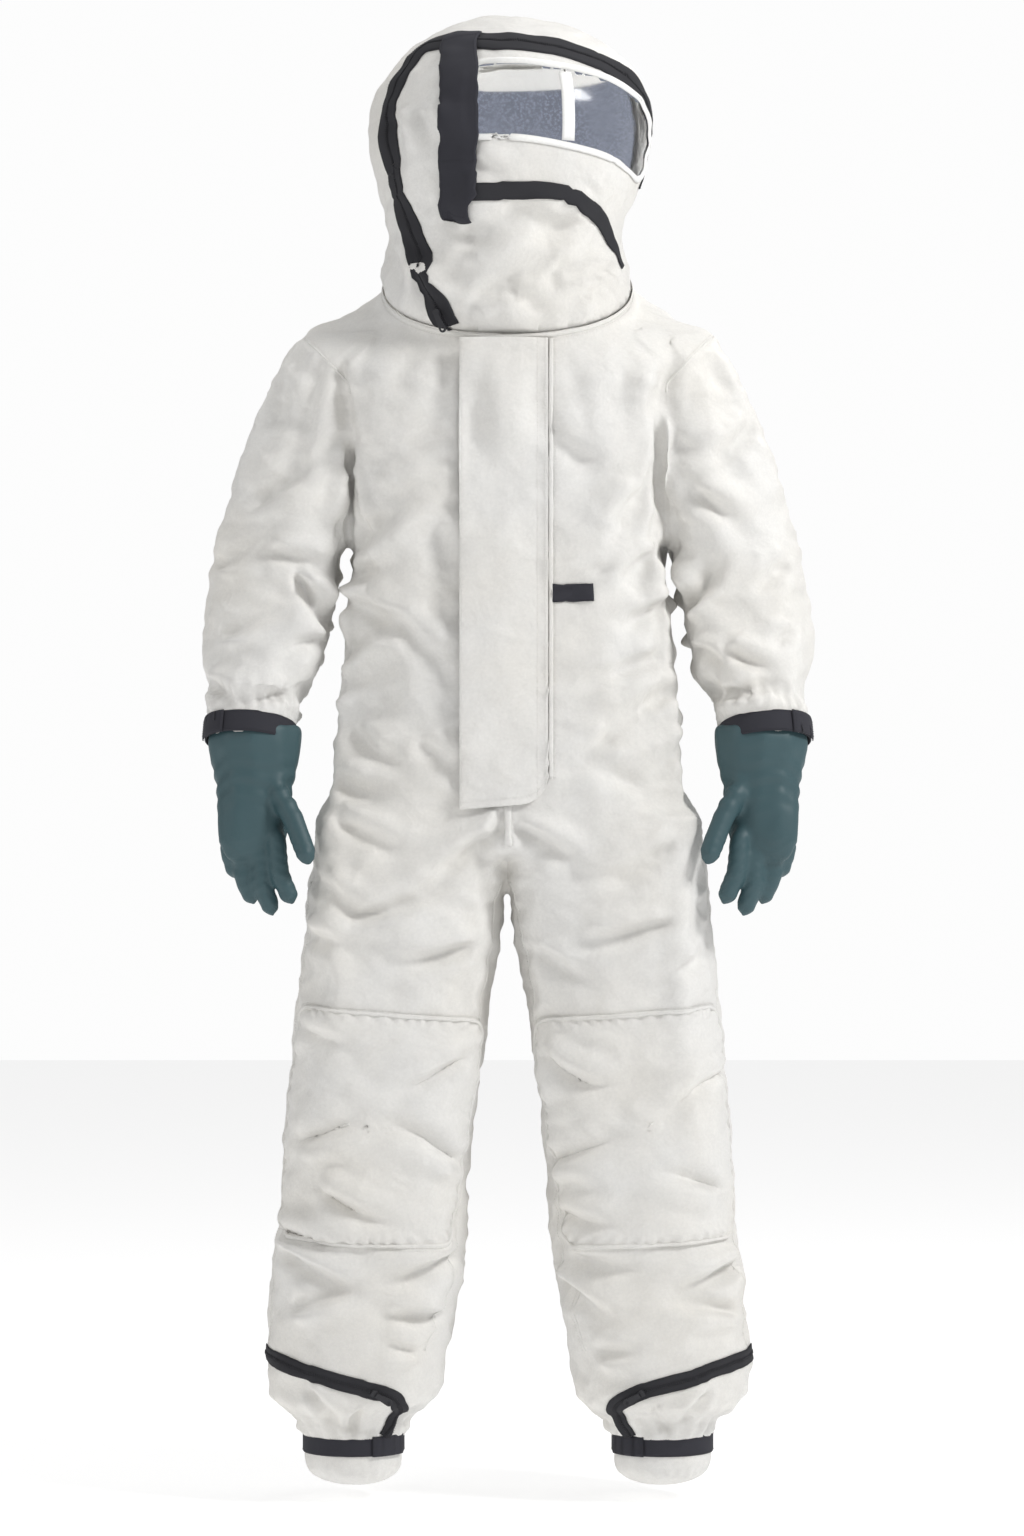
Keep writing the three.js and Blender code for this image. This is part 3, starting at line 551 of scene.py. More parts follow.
def blended(tree, factor, a, b, kind="MIX"):
    """A colour mix of two colours or sockets."""
    node = tree.nodes.new("ShaderNodeMix")
    node.data_type = "RGBA"
    node.blend_type = kind
    for socket, value in zip((node.inputs[0], node.inputs[6], node.inputs[7]), (factor, a, b)):
        if isinstance(value, bpy.types.NodeSocket):
            tree.links.new(value, socket)
        else:
            socket.default_value = value
    return node.outputs[2]


def texture(tree, kind, scale, **settings):
    """A texture in the suit's own space, with its socket values set by name."""
    node = tree.nodes.new("ShaderNodeTex" + kind)
    place = tree.nodes.new("ShaderNodeTexCoord")
    tree.links.new(place.outputs["Object"], node.inputs["Vector"])
    if isinstance(scale, bpy.types.NodeSocket):
        tree.links.new(scale, node.inputs["Scale"])
    else:
        node.inputs["Scale"].default_value = scale
    for label, value in settings.items():
        node.inputs[label].default_value = value
    return node


def ranged(tree, value, low, high, to_low=0.0, to_high=1.0):
    """A socket's value moved from one range into another."""
    node = tree.nodes.new("ShaderNodeMapRange")
    tree.links.new(value, node.inputs["Value"])
    for label, number in (("From Min", low), ("From Max", high), ("To Min", to_low),
                          ("To Max", to_high)):
        node.inputs[label].default_value = number
    return node.outputs["Result"]


def weave_group():
    """A basket weave that wraps any surface, as a height and as a mask of its hollows."""
    if "Weave" in bpy.data.node_groups:
        return bpy.data.node_groups["Weave"]
    tree, given, result = new_group(
        "Weave",
        [("Pitch", "NodeSocketFloat", 0.002), ("Unevenness", "NodeSocketFloat", 0.3)],
        [("Height", "NodeSocketFloat"), ("Hollow", "NodeSocketFloat")],
    )
    place = tree.nodes.new("ShaderNodeTexCoord")
    wander = texture(tree, "Noise", 90.0, Detail=1.0)
    shifted = tree.nodes.new("ShaderNodeVectorMath")
    shifted.operation = "MULTIPLY_ADD"
    tree.links.new(wander.outputs["Color"], shifted.inputs[0])
    shifted.inputs[1].default_value = (0.0016, 0.0016, 0.0016)
    tree.links.new(place.outputs["Object"], shifted.inputs[2])
    axes = tree.nodes.new("ShaderNodeSeparateXYZ")
    tree.links.new(shifted.outputs[0], axes.inputs[0])
    facing = tree.nodes.new("ShaderNodeSeparateXYZ")
    tree.links.new(place.outputs["Normal"], facing.inputs[0])
    rate = calc(tree, "DIVIDE", 2 * math.pi, given.outputs["Pitch"])
    planes = []
    for first, second, across in (("X", "Z", "Y"), ("Y", "Z", "X"), ("X", "Y", "Z")):
        a = calc(tree, "MULTIPLY", axes.outputs[first], rate)
        b = calc(tree, "MULTIPLY", axes.outputs[second], rate)
        crossed = calc(tree, "MULTIPLY", calc(tree, "SINE", calc(tree, "ADD", a, b)),
                       calc(tree, "SINE", calc(tree, "SUBTRACT", a, b)))
        share = calc(tree, "POWER", calc(tree, "ABSOLUTE", facing.outputs[across]), 4.0)
        planes.append((crossed, share))
    total = calc(tree, "ADD", calc(tree, "ADD", planes[0][1], planes[1][1]), planes[2][1])
    mixed = None
    for crossed, share in planes:
        part = calc(tree, "MULTIPLY", crossed, calc(tree, "DIVIDE", share, total))
        mixed = part if mixed is None else calc(tree, "ADD", mixed, part)
    fuzz = texture(tree, "Noise", 900.0, Detail=2.0)
    rough = calc(tree, "MULTIPLY", calc(tree, "SUBTRACT", fuzz.outputs[0], 0.5),
                 given.outputs["Unevenness"])
    height = calc(tree, "ADD", calc(tree, "MULTIPLY_ADD", mixed, 0.5, 0.5), rough)
    tree.links.new(height, result.inputs["Height"])
    tree.links.new(ranged(tree, height, 0.45, 0.05), result.inputs["Hollow"])
    return tree


def wear_group():
    """Slow patches and faint specks that keep any colour from looking flat."""
    if "Soiling" in bpy.data.node_groups:
        return bpy.data.node_groups["Soiling"]
    tree, given, result = new_group(
        "Soiling",
        [("Colour", "NodeSocketColor", (0.8, 0.8, 0.8, 1)), ("Warmth", "NodeSocketFloat", 0.1),
         ("Patch", "NodeSocketFloat", 6.0)],
        [("Colour", "NodeSocketColor"), ("Mask", "NodeSocketFloat")],
    )
    slow = texture(tree, "Noise", given.outputs["Patch"], Detail=4.0, Roughness=0.55)
    mask = ranged(tree, slow.outputs[0], 0.38, 0.66)
    warm = blended(tree, 1.0, given.outputs["Colour"], (0.985, 0.955, 0.895, 1), "MULTIPLY")
    amount = calc(tree, "MULTIPLY", mask, given.outputs["Warmth"])
    tinted = blended(tree, amount, given.outputs["Colour"], warm)
    fine = texture(tree, "Noise", 260.0, Detail=2.0)
    grey = ranged(tree, fine.outputs[0], 0.3, 0.7, 0.94, 1.0)
    shade_of = tree.nodes.new("ShaderNodeCombineColor")
    for channel in range(3):
        tree.links.new(grey, shade_of.inputs[channel])
    final = blended(tree, 1.0, tinted, shade_of.outputs[0], "MULTIPLY")
    tree.links.new(final, result.inputs["Colour"])
    tree.links.new(mask, result.inputs["Mask"])
    return tree


def placed(tree, group, **values):
    """A node group put into a material, with its own values."""
    node = tree.nodes.new("ShaderNodeGroup")
    node.node_tree = group
    for label, value in values.items():
        node.inputs[label].default_value = value
    return node


def material(name, build):
    """The named material, made once by its own function."""
    if name in bpy.data.materials:
        return bpy.data.materials[name]
    made = bpy.data.materials.new(name)
    made.use_nodes = True
    build(made.node_tree, made.node_tree.nodes["Principled BSDF"])
    return made


def bump(tree, shader, *layers):
    """Heights as (socket, distance) pairs, stacked into the shader's normal."""
    last = None
    for socket, distance in layers:
        node = tree.nodes.new("ShaderNodeBump")
        node.inputs["Strength"].default_value = 1.0
        node.inputs["Distance"].default_value = distance
        tree.links.new(socket, node.inputs["Height"])
        if last is not None:
            tree.links.new(last, node.inputs["Normal"])
        last = node.outputs[0]
    tree.links.new(last, shader.inputs["Normal"])


def cloth_finish():
    look = bpy.context.scene.suit_cloth

    def build(tree, shader):
        weave = placed(tree, weave_group(), Pitch=look.pitch, Unevenness=0.5)
        soil = placed(tree, wear_group(), Colour=(*look.colour, 1), Warmth=0.5, Patch=5.0)
        # The weave's hollows are painted darker: painted shade between the threads.
        painted_shade = blended(tree, weave.outputs["Hollow"], soil.outputs["Colour"],
                       tuple(c * 0.78 for c in look.colour) + (1,))
        tree.links.new(painted_shade, shader.inputs["Base Color"])
        rough = ranged(tree, weave.outputs["Hollow"], 0, 1, 0.78, 0.95)
        tree.links.new(rough, shader.inputs["Roughness"])
        crumple = texture(tree, "Noise", 26.0, Detail=3.0, Roughness=0.5, Distortion=0.4)
        shader.inputs["Sheen Weight"].default_value = 0.12
        shader.inputs["Sheen Roughness"].default_value = 0.5
        shader.inputs["Specular IOR Level"].default_value = 0.25
        bump(tree, shader, (crumple.outputs[0], 0.004), (weave.outputs["Height"], 0.00045))

    return material("suit_cloth", build)


def thread_finish():
    look = bpy.context.scene.suit_cloth

    def build(tree, shader):
        soil = placed(tree, wear_group(), Colour=tuple(c * 0.93 for c in look.colour) + (1,),
                      Warmth=0.4, Patch=30.0)
        tree.links.new(soil.outputs["Colour"], shader.inputs["Base Color"])
        shader.inputs["Roughness"].default_value = 0.6
        twist = texture(tree, "Noise", 1500.0, Detail=1.0)
        bump(tree, shader, (twist.outputs[0], 0.0002))

    return material("sewing_thread", build)


def black_finish(name, pitch, rough, depth):
    look = bpy.context.scene.suit_trim

    def build(tree, shader):
        weave = placed(tree, weave_group(), Pitch=pitch, Unevenness=0.9)
        soil = placed(tree, wear_group(), Colour=(*look.black, 1), Warmth=0.0, Patch=25.0)
        lint = texture(tree, "Noise", 420.0, Detail=3.0, Roughness=0.7)
        specks = ranged(tree, lint.outputs[0], 0.60, 0.74, 0.0, 0.07)
        pale = blended(tree, specks, soil.outputs["Colour"], (0.32, 0.32, 0.34, 1))
        tree.links.new(pale, shader.inputs["Base Color"])
        tree.links.new(ranged(tree, lint.outputs[0], 0.3, 0.7, rough, rough + 0.12),
                       shader.inputs["Roughness"])
        shader.inputs["Specular IOR Level"].default_value = 0.12
        bump(tree, shader, (weave.outputs["Height"], depth))

    return material(name, build)


def tape_finish():
    return black_finish("zip_tape", 0.0016, 0.72, 0.0003)


def webbing_finish():
    return black_finish("hook_and_loop", 0.0021, 0.8, 0.0006)


def binding_finish():
    look = bpy.context.scene.suit_trim

    def build(tree, shader):
        soil = placed(tree, wear_group(), Colour=(*look.white, 1), Warmth=0.3, Patch=14.0)
        tree.links.new(soil.outputs["Colour"], shader.inputs["Base Color"])
        shader.inputs["Roughness"].default_value = 0.42
        ribs = placed(tree, weave_group(), Pitch=0.0014, Unevenness=0.2)
        bump(tree, shader, (ribs.outputs["Height"], 0.00012))

    return material("visor_binding", build)


def lining_finish():
    look = bpy.context.scene.suit_trim

    def build(tree, shader):
        holes = texture(tree, "Voronoi", 330.0)
        # The mesh's holes are painted darker: painted shade seen through them.
        hole_shade = ranged(tree, holes.outputs["Distance"], 0.28, 0.5)
        soil = placed(tree, wear_group(), Colour=(*look.lining, 1), Warmth=0.0, Patch=18.0)
        painted_shade = tuple(c * 0.55 for c in look.lining) + (1,)
        tree.links.new(blended(tree, hole_shade, soil.outputs["Colour"], painted_shade),
                       shader.inputs["Base Color"])
        shader.inputs["Roughness"].default_value = 0.85
        bump(tree, shader, (holes.outputs["Distance"], 0.0008))

    return material("mesh_lining", build)


def clear_finish():
    def build(tree, shader):
        shader.inputs["Base Color"].default_value = (0.965, 0.975, 0.985, 1)
        shader.inputs["Transmission Weight"].default_value = 1.0
        shader.inputs["IOR"].default_value = 1.28
        haze = texture(tree, "Noise", 9.0, Detail=3.0)
        tree.links.new(ranged(tree, haze.outputs[0], 0.35, 0.7, 0.03, 0.16),
                       shader.inputs["Roughness"])
        ripple = texture(tree, "Noise", 12.0, Detail=1.0)
        bump(tree, shader, (ripple.outputs[0], 0.004))

    return material("clear_visor", build)


def leather_finish():
    look = bpy.context.scene.suit_glove

    def build(tree, shader):
        cells = texture(tree, "Voronoi", 1 / look.grain)
        pores = texture(tree, "Noise", 700.0, Detail=3.0)
        slow = texture(tree, "Noise", 14.0, Detail=4.0)
        worn = ranged(tree, slow.outputs[0], 0.42, 0.72)
        pale = tuple(min(1, c * 2.3) for c in look.colour) + (1,)
        base = blended(tree, calc(tree, "MULTIPLY", worn, 0.55), (*look.colour, 1), pale)
        # The grain's creases are painted darker: painted shade.
        crease_shade = ranged(tree, cells.outputs["Distance"], 0.45, 0.7)
        painted_shade = tuple(c * 0.45 for c in look.colour) + (1,)
        tree.links.new(blended(tree, crease_shade, base, painted_shade), shader.inputs["Base Color"])
        tree.links.new(ranged(tree, slow.outputs[0], 0.3, 0.7, 0.34, 0.55),
                       shader.inputs["Roughness"])
        shader.inputs["Specular IOR Level"].default_value = 0.30
        bump(tree, shader, (cells.outputs["Distance"], 0.0009), (pores.outputs[0], 0.0002))

    return material("glove_leather", build)


def metal_finish():
    def build(tree, shader):
        wear = texture(tree, "Noise", 160.0, Detail=3.0)
        worn = ranged(tree, wear.outputs[0], 0.56, 0.70, 0.0, 0.7)
        tree.links.new(blended(tree, worn, (0.013, 0.013, 0.015, 1), (0.09, 0.09, 0.095, 1)),
                       shader.inputs["Base Color"])
        shader.inputs["Metallic"].default_value = 0.55
        tree.links.new(ranged(tree, wear.outputs[0], 0.3, 0.7, 0.28, 0.5),
                       shader.inputs["Roughness"])
        bump(tree, shader, (wear.outputs[0], 0.0002))

    return material("zip_metal", build)


SLOTS = {
    "cloth": cloth_finish, "lining_mesh": lining_finish, "zip_tape": tape_finish,
    "hook_and_loop": webbing_finish, "binding": binding_finish, "clear_sheet": clear_finish,
    "glove_leather": leather_finish, "zip_metal": metal_finish, "thread": thread_finish,
}


def dress(obj, slot, body, *replaced):
    """Gives a piece its finish, hangs it on its body when that is one name, and hides the CAD nodes it
    stands for; a piece given a blend of two bodies is left where it is, unhung.
    """
    obj.data.materials.clear()
    obj.data.materials.append(SLOTS[slot]())
    if isinstance(body, str):
        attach(obj, body)
    else:
        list(body)
        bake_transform(obj)
    if replaced:
        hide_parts(*replaced)
    return obj


# -------- cutting and folding
def field_cut(obj, field):
    """Splits every face that a field's zero line crosses, so that the line becomes edges."""
    bm = bmesh.new()
    bm.from_mesh(obj.data)
    values = dict(zip(bm.verts, field(coords(obj))))
    fresh = set()
    for edge in bm.edges[:]:
        a, b = edge.verts
        if values[a] * values[b] < 0:
            share = values[a] / (values[a] - values[b])
            _, made = bmesh.utils.edge_split(edge, a, min(max(share, 0.03), 0.97))
            values[made] = 0.0
            fresh.add(made)
    for face in bm.faces[:]:
        ends = [v for v in face.verts if v in fresh]
        if len(ends) == 2:
            try:
                bmesh.utils.face_split(face, ends[0], ends[1])
            except ValueError:
                continue
    bm.to_mesh(obj.data)
    bm.free()
    return obj


def taken(obj, name, field):
    """A new object holding the faces of a mesh where a field is above nothing."""
    copy = in_scene(name, obj.data.copy())
    bm = bmesh.new()
    bm.from_mesh(copy.data)
    middles = np.array([tuple(f.calc_center_median()) for f in bm.faces])
    keep = field(middles) > 0
    unwanted = [face for face, kept in zip(bm.faces, keep) if not kept]
    bmesh.ops.delete(bm, geom=unwanted, context="FACES")
    bm.to_mesh(copy.data)
    bm.free()
    return copy


# Folds as seen from the front: where each starts and ends across (x) and up (z), how wide it
# is and how deep, in millimetres. A fold is deepest near its start.
FOLDS = [
    # right sleeve
    (-322, -222, -222, -168, 20, 9), (-295, -286, -214, -306, 17, 9), (-264, -310, -220, -380, 15, 12),
    (-350, -392, -300, -352, 18, 7), (-228, -392, -290, -404, 15, 8), (-372, -436, -334, -474, 15, 7),
    (-272, -458, -334, -470, 14, 8), (-204, -30, -196, -150, 14, 5), (-196, -150, -200, -280, 12, 9),
    (-300, -60, -268, -130, 24, 5), (-362, -300, -318, -262, 22, 6),
    # left sleeve
    (214, -14, 176, -108, 16, 5), (182, -120, 186, -262, 12, 9), (302, -122, 240, -180, 22, 6),
    (228, -214, 300, -252, 17, 9), (184, -272, 220, -350, 14, 12), (218, -354, 266, -296, 15, 10),
    (350, -300, 300, -330, 20, 6), (268, -400, 340, -438, 15, 8), (226, -398, 272, -434, 14, 8),
    (262, -460, 346, -440, 14, 8), (356, -380, 320, -404, 15, 5),
    # right of the trunk
    (-188, -16, -178, -76, 16, 4), (-166, -176, -80, -130, 28, 5), (-196, -284, -100, -196, 22, 8),
    (-200, -326, -148, -288, 18, 7), (-220, -336, -112, -392, 18, 8), (-140, -356, -62, -456, 24, 6),
    (-214, -420, -144, -360, 20, 7), (-192, -506, -122, -550, 20, 7), (-230, -466, -186, -424, 20, 6),
    (-108, -512, -58, -570, 22, 5), (-100, -250, -62, -330, 30, 4), (-210, -560, -150, -590, 20, 6),
    # left of the trunk
    (48, -126, 126, -206, 28, 5), (168, -208, 120, -288, 22, 8), (186, -284, 130, -324, 18, 7),
    (126, -298, 52, -340, 20, 6), (196, -336, 140, -382, 17, 9), (182, -408, 68, -454, 20, 7),
    (212, -450, 120, -496, 20, 7), (126, -506, 58, -554, 22, 6), (170, -570, 90, -540, 20, 6),
    (150, -60, 120, -120, 26, 5), (230, -520, 170, -560, 20, 5),
    # crotch and thighs
    (-212, -618, -120, -652, 18, 7), (-10, -618, -98, -704, 17, 9), (-190, -732, -66, -702, 18, 9),
    (-228, -686, -160, -756, 20, 6), (-44, -766, -144, -794, 17, 9), (-252, -754, -182, -778, 18, 6),
    (6, -622, 90, -676, 17, 9), (202, -636, 106, -704, 20, 7), (196, -732, 82, -778, 18, 9),
    (30, -772, 100, -818, 18, 7), (240, -772, 172, -828, 18, 7), (-10, -600, -12, -634, 10, 5),
    # knees
    (-252, -868, -176, -908, 20, 6), (-56, -900, -144, -954, 18, 8), (-252, -1008, -164, -982, 18, 7),
    (-66, -1032, -150, -982, 18, 8), (-230, -1072, -136, -1110, 18, 8), (48, -900, 124, -954, 18, 8),
    (268, -924, 184, -976, 18, 7), (58, -1042, 146, -992, 18, 7), (262, -1072, 174, -1038, 18, 8),
    (66, -1096, 140, -1112, 18, 6),
    # shins
    (-282, -1150, -180, -1202, 17, 10), (-62, -1146, -154, -1190, 17, 9), (-264, -1218, -176, -1184, 16, 8),
    (-80, -1222, -160, -1230, 16, 8), (-282, -1122, -204, -1146, 17, 7), (52, -1186, 134, -1230, 17, 9),
    (296, -1156, 184, -1202, 17, 10), (286, -1222, 196, -1204, 16, 8), (80, -1150, 160, -1170, 17, 8),
    (-110, -1270, -170, -1262, 14, 6), (110, -1270, 170, -1262, 14, 6),
    (-250, -1318, -210, -1352, 12, 6), (250, -1318, 210, -1352, 12, 6),
    (-180, -1336, -200, -1372, 10, 5), (180, -1336, 196, -1372, 10, 5),
    # hood
    (-72, 128, -4, 66, 28, 5), (132, 66, 46, 50, 15, 8), (136, 42, 66, 24, 14, 7),
    (-156, 96, -120, 24, 17, 7), (-168, 134, -130, 84, 18, 5), (96, 120, 20, 96, 22, 5),
    (0, 30, 60, 4, 16, 5), (-40, 190, 10, 168, 20, 4), (110, 156, 40, 176, 18, 5),
    (-57, 91, 43, 129, 26, 8), (55, 67, 111, 79, 18, 7), (-45, 26, 31, 47, 20, 7),
    (-150, 250, -128, 190, 20, 6), (-112, 250, -84, 200, 18, 5), (-118, 60, -90, 10, 16, 6),
]


def fold_heights(at, facing, folds):
    """How far folds seen from the front move points in or out. facing is 1 where they show."""
    total = np.zeros(len(at))
    x, z = at[:, 0] * 1000, at[:, 2] * 1000
    for x0, z0, x1, z1, width, depth in folds:
        dx, dz, reach = x1 - x0, z1 - z0, 4 * width
        length = math.hypot(dx, dz)
        near = ((x > min(x0, x1) - reach) & (x < max(x0, x1) + reach)
                & (z > min(z0, z1) - reach) & (z < max(z0, z1) + reach))
        px, pz = x[near] - x0, z[near] - z0
        along = (px * dx + pz * dz) / length**2
        across = (px * dz - pz * dx) / length
        across = across + 0.22 * width * np.sin(3.1 * along + x0)
        across = across + 0.10 * length * (along - 0.5) ** 2
        side = 1 if (dx > 0) == (dz > 0) else -1
        rise = np.clip((along + 0.10) / 0.26, 0, 1)
        fall = np.clip((1.18 - along) / 0.75, 0, 1)
        share = rise * rise * (3 - 2 * rise) * fall * fall * (3 - 2 * fall)
        spread = width * (0.75 + 0.7 * np.clip(along, 0, 1))
        valley = np.exp(-((across / (0.58 * spread)) ** 2))
        ridge = np.exp(-(((across - side * 1.05 * spread) / (0.80 * spread)) ** 2))
        far = np.exp(-(((across + side * 1.25 * spread) / (0.95 * spread)) ** 2))
        total[near] += depth * share * (0.75 * ridge + 0.30 * far - 0.80 * valley)
    return total * facing * MM


def step(value):
    """A smooth rise from 0 to 1 as the value goes from 0 to 1."""
    value = np.clip(value, 0, 1)
    return value * value * (3 - 2 * value)


def folded(obj, strength=1.0, crumple=0.0022, keep=None):
    """Presses the folds into a mesh, front and back, over a slight crumpling all round."""
    at, out = coords(obj), normals(obj)
    back = [(-x0 * 0.97, z0 - 14, -x1 * 0.9, z1 - 8, w * 1.15, d) for x0, z0, x1, z1, w, d in FOLDS]
    move = fold_heights(at, step((-out[:, 1] + 0.05) / 0.5), FOLDS)
    move += fold_heights(at, step((out[:, 1] + 0.05) / 0.5), back)
    if crumple:
        warped = at * np.array([9.0, 9.0, 15.0])
        rough = np.array([noise.fractal(Vector(p), 0.8, 2.1, 3, noise_basis="PERLIN_ORIGINAL")
                          for p in warped])
        creases = np.array([abs(noise.noise(Vector(p) * 1.9)) for p in warped])
        fine = np.array([abs(noise.noise(Vector(p) * 3.7)) for p in warped])
        move += rough * crumple + (0.25 - creases) * crumple * 1.5 + (0.25 - fine) * crumple * 0.5
    if keep is not None:
        move *= 1 - keep
    set_coords(obj, at + out * (move * strength)[:, None])
    return obj


def pleated(obj, centre, axis, count, reach, depth, above=0.0):
    """Small gathers that run away from a drawn-in end, round its axis."""
    at, out = coords(obj), normals(obj)
    axis = np.array(axis.normalized())
    offset = at - np.array(centre)
    height = offset @ axis
    flat = offset - height[:, None] * axis
    near = np.linalg.norm(flat, axis=1) < 0.16
    first = np.cross(axis, (0, 1, 0))
    first /= np.linalg.norm(first)
    angle = np.arctan2(flat @ np.cross(axis, first), flat @ first)
    wave = np.sin(angle * count + 1.3 * np.sin(angle * 3)) * (0.7 + 0.3 * np.sin(angle * 5 + 1))
    rise = step((height - above) / 0.008) * step((above + reach - height) / reach)
    set_coords(obj, at + out * (wave * rise * depth * near)[:, None])
    return obj


# -------- the coverall and its sleeves
JOINTS = {j["name"]: j for j in frame["joints"]}
KNEE = {s: Vector(JOINTS["knee_" + s]["pos_m"]) for s in SIDES}
ELBOW = {s: Vector(JOINTS["elbow_" + s]["pos_m"]) for s in SIDES}
CROTCH_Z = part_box("front_panel_left")[0].z
FOOT_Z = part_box("shin_panel_left")[0].z
NECK_TILT = 28  # degrees that the neck seam drops towards the front
NECK = Vector((0, 0, 0.0495))  # middle of the neck seam
NECK_UP = Euler((math.radians(NECK_TILT), 0, 0)).to_matrix() @ Vector((0, 0, 1))
CUFF = Vector((0.314, -0.058, -0.520))  # middle of the left cuff
CUFF_UP = Vector((-0.07, 0.2756, 0.9588)).normalized()
BEND_REACH = Vector((0, 0, 0.10))  # how far above and below a knee the stretch between its two bodies reaches
suit = SimpleNamespace()  # what the operators hand on to each other


def knee_blend(side):
    """The two bodies named for a leg's cloth, and the stretch round the knee between them."""
    return "coverall", "shin_" + side, KNEE[side] + BEND_REACH, KNEE[side] - BEND_REACH


def elbow_blend(side):
    """The same for a sleeve."""
    reach = BEND_REACH * 0.8
    return "coverall", "forearm_" + side, ELBOW[side] + reach, ELBOW[side] - reach


def trunk_rows():
    """Sections from the crotch to the neck, which lean with the neck seam near the top."""
    low = CROTCH_Z
    knots = [(low, 0), (-0.44, 0), (-0.30, 0), (-0.20, 1), (-0.12, 4), (-0.032, 11), (0.016, 19),
             (NECK.z, NECK_TILT)]
    heights = [h for h, _ in knots]
    wanted = [*np.linspace(low + 0.002, -0.13, 40), *np.linspace(-0.12, NECK.z - 0.002, 26)]
    leans = np.interp(wanted, heights, [t for _, t in knots])
    sections = [((0, 0, z), (lean, 0, 0)) for z, lean in zip(wanted, leans)]
    names = ["front_panel_left", "front_panel_right", "back_panel"]
    rows = Tube(names, sections, least=0.09, soft=(2.0, 1.2)).rows()
    for row in rows:
        for p in row:
            p.x *= 1 - 0.045 * step((-p.z - 0.255) / 0.03) * step((p.z + 0.60) / 0.06)
    return rows + [[p + NECK_UP * rise for p in rows[-1]] for rise in (0.02, 0.04)]


def leg_middle(z):
    """How far out the middle of a leg lies at a height."""
    heights = [FOOT_Z, FOOT_Z + 0.05, -1.31, -1.25, -1.16, -0.985, -0.77, CROTCH_Z]
    return np.interp(z, heights, [0.194, 0.190, 0.191, 0.186, 0.174, 0.163, 0.142, 0.126])


def leg_rows(side):
    """Sections of one leg from the ankle up into the trunk."""
    names = ["thigh_panel_" + side, "shin_panel_" + side]
    heights = np.linspace(FOOT_Z + 0.002, CROTCH_Z - 0.004, 80)
    sections = [((SIDES[side] * leg_middle(z), 0, z), (0, 0, 0)) for z in heights]
    rows = Tube(names, sections, least=0.035, soft=(1.5, 1.4)).rows()
    below = [[p + Vector((0, 0, -0.02)) for p in rows[0]]]
    return below + rows + [[p + Vector((0, 0, rise)) for p in rows[-1]] for rise in (0.025, 0.05)]


def sleeve_rows(side):
    """Sections of one sleeve from the cuff to the top of the shoulder."""
    sign = SIDES[side]
    knots = [(0.314, -0.058, -0.520, -16, -4), (0.310, -0.040, -0.458, -15, -4),
             (0.304, -0.020, -0.395, -10, -6), (0.296, -0.004, -0.330, -4, -8),
             (0.283, 0.004, -0.260, 0, -14), (0.260, 0.006, -0.184, 0, -20),
             (0.226, 0.006, -0.104, 0, -24), (0.190, 0.006, -0.036, 0, -32)]
    table = np.array(knots)
    wanted = np.linspace(0.03, len(knots) - 1, 64)
    x, y, z, tilt, lean = (np.interp(wanted, range(len(knots)), table[:, k]) for k in range(5))
    sections = [((sign * a, b, c), (d, sign * e, 0)) for a, b, c, d, e in zip(x, y, z, tilt, lean)]
    names = ["upper_sleeve_" + side, "lower_sleeve_" + side]
    rows = Tube(names, sections, least=0.045, soft=(1.6, 1.4)).rows()
    for row in rows:
        middle = sum(p.x for p in row) / len(row)
        for p in row:
            inner = step((middle - p.x) * sign / 0.045)
            p.x += sign * 0.011 * step((-p.z - 0.25) / 0.03) * inner
    inward = Vector((-0.6 * sign, 0, 0.35)) * 0.05
    low = [p - mirror(CUFF_UP, sign) * 0.02 for p in rows[0]]
    top = rows[-1]
    middle = sum(top, Vector()) / len(top)
    return [low] + rows + [[middle + (p - middle) * 0.8 + inward for p in top]]


def mirror(point, sign):
    return Vector((point.x * sign, point.y, point.z))


def armhole_edge(z):
    """How far out the armhole's line lies at a height."""
    heights = [-0.60, -0.556, -0.545, -0.45, -0.33, -0.275, -0.16, -0.075, -0.005, 0.2]
    edge = [1.0, 1.0, 0.262, 0.230, 0.204, 0.198, 0.190, 0.196, 0.262, 0.275]
    return np.interp(z, heights, edge)


def armhole_field(at):
    """Above nothing on the sleeves, below nothing on the trunk."""
    return np.abs(at[:, 0]) - armhole_edge(at[:, 2])


def collared(obj, shape, reach=0.05, stand=0.0022):
    """Draws the trunk's neck in to the hood's lower edge."""
    right = Vector((1, 0, 0))
    ahead = NECK_UP.cross(right)
    seats = [shape.seat(p) - NECK for p in shape.rim(180)]
    turns = np.array([math.atan2(p.dot(right), p.dot(ahead)) for p in seats])
    sizes = np.array([p.length for p in seats])
    order = np.argsort(turns)
    offset = coords(obj) - np.array(NECK)
    height = offset @ np.array(NECK_UP)
    across, along = offset @ np.array(right), offset @ np.array(ahead)
    size = np.hypot(across, along)
    turn = np.arctan2(across, along)
    wanted = np.interp(turn, turns[order], sizes[order], period=2 * math.pi) + stand
    share = step((height + reach) / (reach - 0.004)) * (size < 0.26)
    scale = 1 + (wanted / np.maximum(size, 0.01) - 1) * share
    flat = (across * scale)[:, None] * np.array(right) + (along * scale)[:, None] * np.array(ahead)
    set_coords(obj, np.array(NECK) + flat + height[:, None] * np.array(NECK_UP))


def drawn_in(obj, middle, share, reach):
    """Pulls the end of a leg in towards its middle, as its strap does."""
    at = coords(obj)
    near = (np.abs(at[:, 0] - middle.x) < 0.14) & (at[:, 2] < middle.z + reach)
    scale = 1 - share * step((middle.z + reach - at[:, 2]) / (reach * 0.6)) * near
    at[:, 0] = middle.x + (at[:, 0] - middle.x) * scale
    at[:, 1] = middle.y + (at[:, 1] - middle.y) * scale
    set_coords(obj, at)


def sheet_of(obj):
    """Hands the piece back unchanged."""
    return obj


